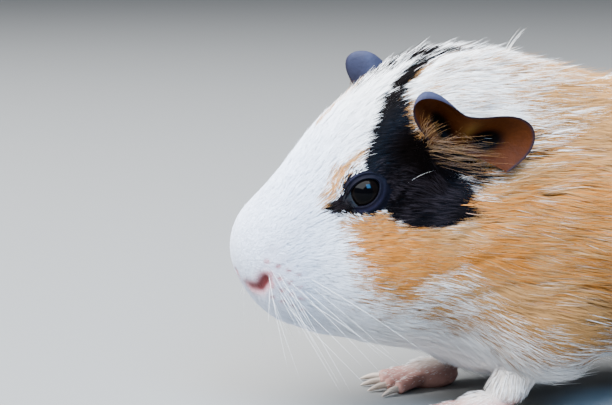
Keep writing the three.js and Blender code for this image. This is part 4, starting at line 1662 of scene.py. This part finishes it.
@dataclass
class Trim:
    """The hairs that aren't part of the coat: whiskers, brow and ear hairs, and those astray on the crown."""

    form: Form
    lie: Lie
    whisker_count: int = 26
    astray_count: int = 900
    astray_in_front: int = 150  # so many of those lie ahead of the crown
    nape_count: int = 5
    astray_width: Ramp = Ramp((5, 40, 80), (4, 6, 9))  # how far to the sides they lie
    astray_height: Ramp = Ramp((5, 12, 25, 40, 63, 80, 150, 215), (55, 66, 79, 90, 96, 94, 96, 82))
    astray_length: Ramp = Ramp((5, 30, 45, 80, 120), (3, 5, 9, 15, 19))

    def whiskers(self) -> Wisps:
        """The left whiskers: the front ones hang down, and those behind sweep back along the cheek."""
        rng = np.random.default_rng(31)
        count, pad = self.whisker_count, whisker_roots()
        chosen = rng.permutation(np.arange(count) % len(pad))
        roots = pad[chosen] + rng.normal(scale=0.4, size=(count, 3))
        roots, normals = self.form.settle(roots, -0.4)
        back = ease(7.5, 16.5, roots[:, 1])
        high = ease(34, 44, roots[:, 2])
        down = np.radians(-84 + 44 * back + 20 * high + rng.normal(scale=13, size=count))
        out = rng.uniform(0.12, 0.5, count)
        heading = unit(np.stack([out, np.cos(down), np.sin(down)], -1) + 0.15 * normals)
        bend = np.stack([-0.1 * out, 0.10 + 0 * back, -0.16 + 0 * back], -1)
        bend = bend * rng.uniform(-0.2, 1.3, (count, 1))
        length = rng.uniform(13, 33, count) * (0.75 + 0.4 * back)
        length = np.minimum(length, (roots[:, 2] - 1.2) / np.maximum(0.3, -(heading + bend)[:, 2]))
        return Wisps(roots, heading, bend, length, 0.06, 12)

    def sprays(self, sprays: tuple[Spray, ...], seed: int, width: float) -> Wisps:
        """All the hairs of some sprays, on the left side.

        Args:
            sprays: The sprays.
            seed: Chooses where their hairs stand.
            width: The hairs' half width.

        Returns:
            The hairs.
        """
        rng = np.random.default_rng(seed)
        parts = []
        for spray in sprays:
            n = spray.count
            roots = catmull_rom(np.array(spray.line, float), rng.random(n))
            roots = roots + rng.normal(scale=spray.scatter, size=(n, 3))
            normals = np.zeros((n, 3))
            if spray.stand is not None:
                roots, normals = self.form.settle(roots, -0.2)
            aim = np.array(spray.heading) + (spray.stand or 0.0) * normals
            heading = unit(aim + rng.normal(scale=spray.spread, size=(n, 3)))
            bend = np.array(spray.bend) * rng.uniform(0.3, 1.6, (n, 1))
            parts.append((roots, heading, bend, rng.uniform(*spray.length, n)))
        roots, heading, bend, length = (np.concatenate(column) for column in zip(*parts))
        return Wisps(roots, heading, bend, length, width, 8, 3)

    def astray(self) -> Wisps:
        """Loose hairs over the bridge, the crown, the nape and the back."""
        rng = np.random.default_rng(34)
        count = self.astray_count
        front = rng.uniform(5, 40, self.astray_in_front)
        y = np.concatenate([front, rng.uniform(40, 215, count - self.astray_in_front)])
        x = rng.normal(scale=self.astray_width.at(y), size=count)
        roots, normals = self.form.settle(np.stack([x, y, self.astray_height.at(y)], -1), 0.0)
        roots, normals = self.form.settle(roots, -0.3)
        along_lie = self.lie.direction(roots, normals)
        up = rng.uniform(0.18, 0.5, count)[:, None]
        heading = unit(along_lie + up * normals + rng.normal(scale=0.12, size=roots.shape))
        bend = -0.16 * normals * rng.uniform(0.3, 1.6, (count, 1))
        length = rng.uniform(0.7, 1.15, count) * self.astray_length.at(y)
        return Wisps(roots, heading, bend, length, 0.06, 6, 3)

    def nape(self) -> Wisps:
        """The loose lock on the nape, which stands up and curls back through three points."""
        rng = np.random.default_rng(36)
        root, bow, tip = (np.array(point) for point in NAPE_LOCK)
        shape = (self.nape_count, 3)
        roots = root + rng.normal(scale=0.25, size=shape)
        heading = 4 * (bow - root) - (tip - root) + rng.normal(scale=0.5, size=shape)
        bend = (tip - root) - heading + rng.normal(scale=0.6, size=shape)
        return Wisps(roots, heading, bend, rng.uniform(0.75, 1.0, self.nape_count), 0.09, 10)


# --- shader graphs
Number = "Wire | float"


def operator(operation: str, swapped: bool = False) -> Callable[["Wire", Number], "Wire"]:
    """An operator of wires, made of one Math node.

    Args:
        operation: What the node does.
        swapped: Whether the wire stands after the other number, as it does in a reflected operator.

    Returns:
        The operator.
    """

    def result(wire: "Wire", other: Number) -> "Wire":
        """The operation's result."""
        sides = (other, wire) if swapped else (wire, other)
        made = wire.graph.node("ShaderNodeMath", {"operation": operation}, dict(enumerate(sides)))
        return Wire(wire.graph, made.outputs[0])

    return result


@dataclass
class Wire:
    """A number or colour that runs through a shader's graph, and can be reckoned with."""

    graph: "Graph"
    socket: bpy.types.NodeSocket

    __add__, __radd__ = operator("ADD"), operator("ADD", True)
    __sub__, __rsub__ = operator("SUBTRACT"), operator("SUBTRACT", True)
    __mul__, __rmul__ = operator("MULTIPLY"), operator("MULTIPLY", True)

    def eased(self, low: float, high: float) -> "Wire":
        """A smooth step from 0 at low to 1 at high."""
        sockets = {"Value": self, "From Min": low, "From Max": high}
        made = self.graph.node("ShaderNodeMapRange", {"interpolation_type": "SMOOTHSTEP"}, sockets)
        return Wire(self.graph, made.outputs["Result"])


Colour = tuple[float, float, float]


class Graph:
    """The shader of one material, built on its Principled BSDF."""

    def __init__(self, name: str) -> None:
        """Starts a material with that name."""
        self.material = bpy.data.materials.new(name)
        self.material.use_nodes = True
        self.tree = self.material.node_tree
        self.shader = self.tree.nodes["Principled BSDF"]

    def node(self, kind: str, settings: dict[str, object], sockets: dict[object, object]) -> bpy.types.Node:
        """Adds a node: its settings are made first, and then its sockets are filled or linked.

        Args:
            kind: The node's type.
            settings: Its settings by name.
            sockets: What goes into its sockets, by their names or numbers.

        Returns:
            The node.
        """
        made = self.tree.nodes.new(kind)
        for key, value in settings.items():
            setattr(made, key, value)
        for key, value in sockets.items():
            self.put(made.inputs[key], value)
        return made

    def put(self, socket: bpy.types.NodeSocket, value: object) -> None:
        """Links a wire to a socket, or fills it with a number or a colour."""
        if isinstance(value, Wire):
            self.tree.links.new(value.socket, socket)
        elif isinstance(value, tuple) and len(value) == 3 and socket.type == "RGBA":
            socket.default_value = (*value, 1.0)
        else:
            socket.default_value = value

    def apart(self, vector: bpy.types.NodeSocket) -> list[Wire]:
        """The three numbers of a vector."""
        made = self.node("ShaderNodeSeparateXYZ", {}, {0: Wire(self, vector)})
        return [Wire(self, out) for out in made.outputs]

    def attribute(self, name: str) -> list[Wire]:
        """The three numbers of a piece's stored values."""
        return self.apart(self.node("ShaderNodeAttribute", {"attribute_name": name}, {}).outputs["Vector"])

    def place(self) -> bpy.types.NodeSocket:
        """The piece's own coordinates."""
        return self.node("ShaderNodeTexCoord", {}, {}).outputs["Object"]

    def station(self) -> Wire:
        """The distance behind the tip of the nose, in millimetres."""
        return self.apart(self.place())[1] * (1.0 / MM) + DATUM_AHEAD

    def noise(self, size: float, detail: float = 2.0, stretch: Triple = (1, 1, 1)) -> Wire:
        """Noise from 0 to 1 in the piece's own coordinates."""
        sockets = {0: Wire(self, self.place()), 1: stretch}
        scaled = self.node("ShaderNodeVectorMath", {"operation": "MULTIPLY"}, sockets)
        sockets = {"Vector": Wire(self, scaled.outputs[0]), "Scale": 1.0 / (size * MM), "Detail": detail}
        return Wire(self, self.node("ShaderNodeTexNoise", {}, sockets).outputs[0])

    def mix(self, a: Wire | Colour, b: Wire | Colour, share: Number) -> Wire:
        """One colour laid over another by a share."""
        made = self.node("ShaderNodeMix", {"data_type": "RGBA"}, {0: share, 6: a, 7: b})
        return Wire(self, made.outputs[2])

    def dimmed(self, colour: Wire | Colour, by: Number) -> Wire:
        """A colour times a number."""
        made = self.node("ShaderNodeVectorMath", {"operation": "SCALE"}, {0: colour, "Scale": by})
        return Wire(self, made.outputs[0])

    def bump(self, height: Wire, depth: float) -> None:
        """Roughens the surface by a height from 0 to 1 that stands for that depth in millimetres."""
        made = self.node("ShaderNodeBump", {}, {"Height": height, "Distance": depth * MM, "Strength": 1.0})
        self.put(self.shader.inputs["Normal"], Wire(self, made.outputs[0]))

    def finished(
        self, colour: Wire | Colour, roughness: Number, specular: float = 0.5, coat: Triple = (0, 0.03, 1.5)
    ) -> Material:
        """Fills the shader's sockets. The coat is given by its weight, roughness and refraction."""
        names = ("Base Color", "Roughness", "Specular IOR Level", "Coat Weight", "Coat Roughness", "Coat IOR")
        for name, value in zip(names, (colour, roughness, specular, *coat)):
            self.put(self.shader.inputs[name], value)
        return self.material


# --- finishes
@dataclass(frozen=True)
class Palette:
    """The colours of the coat and of the skin under it."""

    # painted light: the face's white is tinted blue for the cool skylight that falls on it
    face_white_painted_skylight: Colour = (0.73, 0.81, 0.96)
    white: Colour = (0.89, 0.88, 0.875)
    tan: Colour = (0.46, 0.235, 0.085)
    orange: Colour = (0.50, 0.175, 0.030)
    black: Colour = (0.0030, 0.0020, 0.0020)
    pink: Colour = (0.44, 0.13, 0.135)

    def coat(self, graph: Graph, marking: list[Wire]) -> Wire:
        """White, tinted blue on the face as painted skylight, with tan, orange and black laid over it by
        their shares.
        """
        white = graph.mix(self.face_white_painted_skylight, self.white, graph.station().eased(14.0, 44.0))
        colour = graph.mix(white, self.tan, marking[2])
        colour = graph.mix(colour, self.orange, marking[1])
        return graph.mix(colour, self.black, marking[0])


@dataclass(frozen=True)
class CoatFinish:
    """Hair: the colours of the coat, darker at the roots as painted shade between the hairs, and varied from
    tuft to tuft.
    """

    palette: Palette = Palette()
    # painted sheen: the blue-grey highlights on black hair, mixed into the lightest black tufts
    painted_sheen_grey: Colour = (0.085, 0.066, 0.080)  # what the lightest black tufts are mixed with

    def material(self) -> Material:
        """The coat's material."""
        g = Graph("coat")
        marking = g.attribute("marking")
        shade, along_hair, pink = g.attribute("strand")
        colour = g.mix(self.palette.coat(g, marking), self.palette.pink, pink * (0.8 - 0.3 * along_hair))
        # painted shade: the tone falls towards each root, and the tuft's shade value also carries painted
        # shade
        tone = 0.86 + 0.12 * along_hair.eased(0.0, 0.7) + 0.36 * (shade - 0.5)
        colour = g.dimmed(colour, tone + 0.10 * (g.noise(7.0) - 0.5))
        # painted sheen on the lighter black tufts
        colour = g.mix(colour, self.painted_sheen_grey, marking[0] * shade.eased(0.42, 0.85) * 0.24)
        return g.finished(colour, 0.6 - 0.14 * marking[0], 0.022)


@dataclass(frozen=True)
class HideFinish:
    """The skin under the coat: the coat's colours, pink where the hair is thin, with the nap of short fur,
    and dark red in the nostrils and the mouth, partly the skin's own colour and partly painted shade.
    """

    palette: Palette = Palette()
    # the nostrils' and the mouth's red skin, darkened with painted shade where the furrows are deep
    furrow: Colour = (0.085, 0.008, 0.010)

    def material(self) -> Material:
        """The skin's material."""
        g = Graph("hide")
        marking = g.attribute("marking")
        pink, deep, _ = g.attribute("zone")
        colour = g.dimmed(self.palette.coat(g, marking), 0.8 + 0.2 * g.noise(0.7, 3.0, (1, 0.35, 1)))
        colour = g.mix(colour, self.palette.pink, pink.eased(0.1, 0.9) * 0.8)
        colour = g.mix(colour, self.furrow, deep)
        g.bump(g.noise(0.5, 3.0, (1, 0.3, 1)), 0.25)
        return g.finished(colour, 0.72 - 0.25 * deep, 0.3)


@dataclass(frozen=True)
class LidFinish:
    """The eyelids: dark naked skin that is wet at the margin and takes the coat's colour further out, with a
    painted blue-grey highlight on the ridges above and below the eye.
    """

    palette: Palette = Palette()
    bare: Colour = (0.0022, 0.0020, 0.0040)
    mottle: Colour = (0.0050, 0.0048, 0.0095)
    # painted highlight: the blue-grey of skylight caught on the lids' ridges
    ridge: Colour = (0.026, 0.025, 0.056)

    def material(self) -> Material:
        """The lids' material."""
        g = Graph("lids")
        marking = g.attribute("marking")
        wet, dark, ridge = g.attribute("zone")
        bare = g.mix(g.mix(self.bare, self.mottle, g.noise(0.9, 3.0)), self.ridge, ridge * 0.8)
        colour = g.mix(g.dimmed(self.palette.coat(g, marking), 0.8), bare, dark)
        g.bump(g.noise(0.45, 3.0), 0.14)
        return g.finished(colour, 0.62 - 0.3 * wet, 0.04)


@dataclass(frozen=True)
class EarFinish:
    """Naked ear skin: red brown inside and darkened with painted shade, lighter towards the rim as if the
    light came through it, with painted shade in the pits, and a dark rim and back.
    """

    # inside is kept dark as painted shade under the hem, thin is lighter as if lit through, and dark is
    # painted shade in the pits
    inside: Colour = (0.026, 0.0058, 0.0010)
    thin: Colour = (0.046, 0.0115, 0.0017)
    gold: Colour = (0.075, 0.036, 0.0065)
    dark: Colour = (0.0010, 0.0006, 0.0005)
    back: Colour = (0.036, 0.042, 0.082)
    back_mottle: Colour = (0.026, 0.028, 0.050)
    rim: Colour = (0.016, 0.0095, 0.013)

    def material(self) -> Material:
        """The ears' material."""
        g = Graph("ear")
        rim, pit, back = g.attribute("marking")
        gold, deep, _ = g.attribute("zone")
        mottle = g.noise(3.2, 3.0)
        # painted light: lighter towards the rim as if lit through the skin, darker towards the root as
        # painted shade
        colour = g.mix(self.thin, self.inside, deep * 0.6 + mottle.eased(0.3, 0.7) * 0.5)
        colour = g.mix(colour, self.gold, gold * 0.8)
        # painted shade: the pits are darkened to near black
        colour = g.mix(colour, self.dark, pit.eased(0.15, 0.62))
        colour = g.mix(colour, g.mix(self.back, self.back_mottle, mottle), back)
        colour = g.mix(colour, self.rim, rim * (1.0 - 0.6 * back))
        g.bump(g.noise(0.8, 3.0), 0.15)
        return g.finished(colour, 0.6, 0.04)


@dataclass(frozen=True)
class FootFinish:
    """Naked pink foot skin, darker along the creases over the toes as painted shade, and darker towards the
    floor.
    """

    skin: Colour = (0.46, 0.24, 0.20)
    crease: Colour = (0.26, 0.11, 0.095)
    fur: Colour = (0.74, 0.66, 0.58)

    def material(self) -> Material:
        """The feet's material."""
        g = Graph("foot")
        lines, high, sole = g.attribute("zone")
        grain = g.noise(0.6, 4.0)
        # painted shade in the creases over the toes; the skin also darkens towards the floor
        colour = g.mix(self.skin, self.crease, lines * 0.55 + sole * 0.35)
        colour = g.mix(colour, self.fur, high)
        colour = g.dimmed(colour, 0.85 + 0.25 * grain)
        g.bump(grain - 0.6 * lines, 0.25)
        return g.finished(colour, 0.6, 0.35)


@dataclass(frozen=True)
class EyeFinish:
    """A wet, nearly black eye with a dark brown iris round the pupil."""

    dark: Colour = (0.0006, 0.0006, 0.0010)
    iris: Colour = (0.0022, 0.0015, 0.0014)

    def material(self) -> Material:
        """The eyes' material."""
        g = Graph("eye")
        facing = g.attribute("axis")[0]
        iris = facing.eased(0.66, 0.72) * (1.0 - facing.eased(0.87, 0.90))
        colour = g.mix(self.dark, self.iris, iris * (0.6 + 0.8 * g.noise(0.5)))
        return g.finished(colour, 0.3, 0.0, (1.0, 0.02, 1.14))


@dataclass(frozen=True)
class HornFinish:
    """Pale horn with a lengthwise grain."""

    dark: Colour = (0.42, 0.32, 0.26)
    pale: Colour = (0.58, 0.50, 0.43)

    def material(self) -> Material:
        """The material."""
        g = Graph("horn")
        colour = g.mix(self.dark, self.pale, g.noise(1.6, 2.0, (1, 0.3, 1)))
        g.bump(g.noise(0.5, 2.0, (1, 0.15, 1)), 0.06)
        return g.finished(colour, 0.35)


@dataclass(frozen=True)
class WispFinish:
    """Single hairs: a colour at the root that runs out to another at the tip, and a third for some hairs."""

    name: str
    root: Colour
    tip: Colour
    other: Colour

    def material(self) -> Material:
        """The hairs' material."""
        g = Graph(self.name)
        shade, share, _ = g.attribute("strand")
        colour = g.mix(g.mix(self.root, self.tip, share), self.other, shade.eased(0.45, 0.75))
        return g.finished(colour, 0.45, 0.4)


WHISKER = WispFinish("whisker", (0.86, 0.85, 0.84), (0.9, 0.9, 0.9), (0.9, 0.9, 0.9))
EAR_HAIR = WispFinish("ear_hair", (0.045, 0.018, 0.0035), (0.29, 0.132, 0.022), (0.19, 0.10, 0.03))
LOOSE_HAIR = WispFinish("loose_hair", (0.86, 0.80, 0.74), (0.9, 0.86, 0.8), (0.012, 0.011, 0.014))


# --- the animal
def build_pair(
    name: str, left: Shell, finish: Material, nodes: tuple[str, ...] = ()
) -> None:
    """Builds a piece of the left side, and its mirror image on the right."""
    for side, shell in zip(SIDES, (left, left.mirrored())):
        build(f"{name}_{side}", shell, [finish], [node.format(side=side) for node in nodes])


@dataclass
class GuineaPig:
    """The whole animal: one skin, the eyes, the claws, the coat and the single hairs."""

    form: Form = field(default_factory=Form)
    markings: Markings = field(default_factory=Markings)
    body_step: int = 5  # only every fifth row of the hide's grid is kept behind the head
    # the furrows' colour is partly red skin and partly painted shade
    furrow: tuple[float, float] = (0.05, 0.7)  # how deep the furrows' colour starts, and where it is full

    def hide(self, grid: Array) -> Shell:
        """The skin of the head, neck and trunk, with its markings.

        Args:
            grid: The hide's whole grid.

        Returns:
            The skin, with the values that its finish reads.
        """
        head_rows = len(grid) // 2
        kept = np.concatenate([np.arange(head_rows), np.arange(head_rows, len(grid), self.body_step)])
        shell = Hide(self.form).shell(grid[kept]).facing_out()
        p = shell.points
        shell.values["marking"] = self.markings.shares(p)
        # painted shade: the deeper the skin lies under the outline, the more of the dark red it takes
        deep = ease(*self.furrow, -(self.form.outline(p) + self.form.coat_depth(p)))
        shell.values["zone"] = np.stack([pinkness(p), deep, deep * 0], -1)
        return shell.with_slot(0)

    def skin(self, grid: Array) -> None:
        """Builds the one skin: the hide with the lids, ears and feet let into it."""
        lids = Eye(self.form).lids().with_slot(1)
        shells = [self.hide(grid), lids, lids.mirrored()]
        shells.append(Ear(CARRIAGES["left"]).leaf().with_slot(2))
        shells.append(Ear(CARRIAGES["right"]).leaf().with_slot(2).mirrored())
        for foot in FEET:
            made = foot.skin().with_slot(3)
            shells += [made, made.mirrored()]
        finishes = [HideFinish(), LidFinish(), EarFinish(), FootFinish()]
        replaced = ["head", "neck", "trunk"]
        for side in SIDES:
            limbs = (f"{part}_{foot.name}_{side}" for part in ("leg", "foot") for foot in FEET)
            replaced += [f"ear_{side}", *limbs]
        build("skin", join(shells), [finish.material() for finish in finishes], replaced)

    def eyes(self) -> None:
        """Builds the two eyeballs."""
        build_pair("eyeball", Eye(self.form).ball(), EyeFinish().material(), ("eye_{side}",))

    def claws(self) -> None:
        """Builds the claws of each foot."""
        finish = HornFinish().material()
        for foot in FEET:
            nodes = tuple(f"claw_{foot.name}_{{side}}_{i + 1}" for i in range(len(foot.toes)))
            build_pair(f"claws_{foot.name}", foot.claws(), finish, nodes)

    def trim(self, lie: Lie) -> None:
        """Builds the single hairs of both sides."""
        trim = Trim(self.form, lie)
        white, gold, loose = (finish.material() for finish in (WHISKER, EAR_HAIR, LOOSE_HAIR))
        rng = np.random.default_rng(35)
        pairs = {"whiskers": trim.whiskers(), "brow_hairs": trim.sprays(BROW_SPRAYS, 32, 0.05)}
        for name, wisps in pairs.items():
            build_pair(name, wisps.shell(rng.random(len(wisps.roots))), white)
        for side, carriage in CARRIAGES.items():
            wisps = trim.sprays(EAR_SPRAYS, 33, 0.052)
            made = Ear(carriage).carried(wisps.shell(rng.random(len(wisps.roots))))
            build(f"ear_hairs_{side}", made if side == "left" else made.mirrored(), [gold])
        astray, nape = trim.astray(), trim.nape()
        number = rng.random(len(astray.roots))
        black = self.markings.hairs(astray.roots, number, rng)[:, 0]
        x, y = astray.roots[:, 0], astray.roots[:, 1]
        black = np.maximum(black, (number < 0.45 * bell(y, 60, 26)) & (x < 6)) * 0.8
        hairs = join([astray.shell(black), nape.shell(np.zeros(len(nape.roots)))])
        build("loose_hairs", hairs, [loose])

    def make(self) -> None:
        """Builds every piece."""
        grid, lie = Hide(self.form).grid(), Lie()
        self.skin(grid)
        self.eyes()
        self.claws()
        strands, finish = Strands(self.form, lie, self.markings), CoatFinish().material()
        Coat(strands, grid, finish).grow()
        FootCoat(strands).grow(finish)
        self.trim(lie)


# --- the stage
@dataclass(frozen=True)
class Lamp:
    """A square soft light that hangs at a place and faces another, in metres.

    It is seen in matt things, in glossy ones, or in both.
    """

    name: str
    at: Triple
    facing: Triple
    size: float
    power: float
    colour: Colour
    on_matt: bool = True
    on_gloss: bool = True

    def hang(self) -> None:
        """Puts the light into the scene."""
        light = bpy.data.lights.new(self.name, "AREA")
        light.size, light.energy, light.color = self.size, self.power, self.colour
        lamp = linked(self.name, light)
        lamp.location = self.at
        lamp.rotation_euler = (Vector(self.at) - Vector(self.facing)).to_track_quat("Z", "Y").to_euler()
        lamp.visible_diffuse, lamp.visible_glossy = self.on_matt, self.on_gloss


KEY_AT, GLINT_AT = (0.678, -0.019, 0.675), (0.662, -0.0206, 0.660)
KEY_FACING = (0.021, -0.084, 0.064)
LAMPS = (
    Lamp("sky", (0.22, -0.68, 1.30), (0.0, -0.1, 0.05), 2.1, 236.0, (0.945, 0.97, 1.0)),
    Lamp("key", KEY_AT, KEY_FACING, 0.42, 10.5, (0.34, 0.63, 1.0), on_gloss=False),
    Lamp("glint", GLINT_AT, KEY_FACING, 0.40, 42.0, (0.10, 0.44, 1.0), on_matt=False),
)


@dataclass
class Stage:
    """A pale floor, soft light all round and the camera."""

    target: Triple = (0.008, -0.0973, 0.060)
    azimuth: float = 73.0
    elevation: float = 9.0
    distance: float = 0.470
    lens: float = 105.0  # for a sensor 36 mm wide
    floor_half: float = 9.0
    floor_colour: Colour = (0.19, 0.19, 0.185)
    air_colour: Colour = (0.78, 0.87, 1.0)
    air_strength: float = 0.3

    def floor(self) -> None:
        """A wide plain floor."""
        h = self.floor_half
        mesh = bpy.data.meshes.new("floor")
        mesh.from_pydata([(-h, -h, 0), (h, -h, 0), (h, h, 0), (-h, h, 0)], [], [(0, 1, 2, 3)])
        mesh.materials.append(Graph("floor").finished(self.floor_colour, 0.9))
        piece = linked("floor", mesh)

    def camera(self) -> None:
        """The camera, turned round the target by azimuth and elevation."""
        a, e = math.radians(self.azimuth), math.radians(self.elevation)
        back = Vector((math.sin(a) * math.cos(e), -math.cos(a) * math.cos(e), math.sin(e)))
        data = bpy.data.cameras.new("camera")
        data.lens, data.sensor_width, data.clip_start = self.lens, 36.0, 0.01
        camera = linked("camera", data)
        camera.location = Vector(self.target) + back * self.distance
        camera.rotation_euler = back.to_track_quat("Z", "Y").to_euler()
        bpy.context.scene.camera = camera

    def set_up(self) -> None:
        """Puts the floor, the lights and the camera into the scene."""
        self.floor()
        self.camera()
        for lamp in LAMPS:
            lamp.hang()
        world = bpy.data.worlds.new("studio")
        world.use_nodes = True
        sky = world.node_tree.nodes["Background"]
        sky.inputs["Color"].default_value = (*self.air_colour, 1.0)
        sky.inputs["Strength"].default_value = self.air_strength
        bpy.context.scene.world = world


def main() -> None:
    """Builds the animal and its stage."""
    logging.basicConfig(level=logging.INFO, format="%(message)s")
    GuineaPig().make()
    Stage().set_up()


if __name__ == "__main__":
    main()
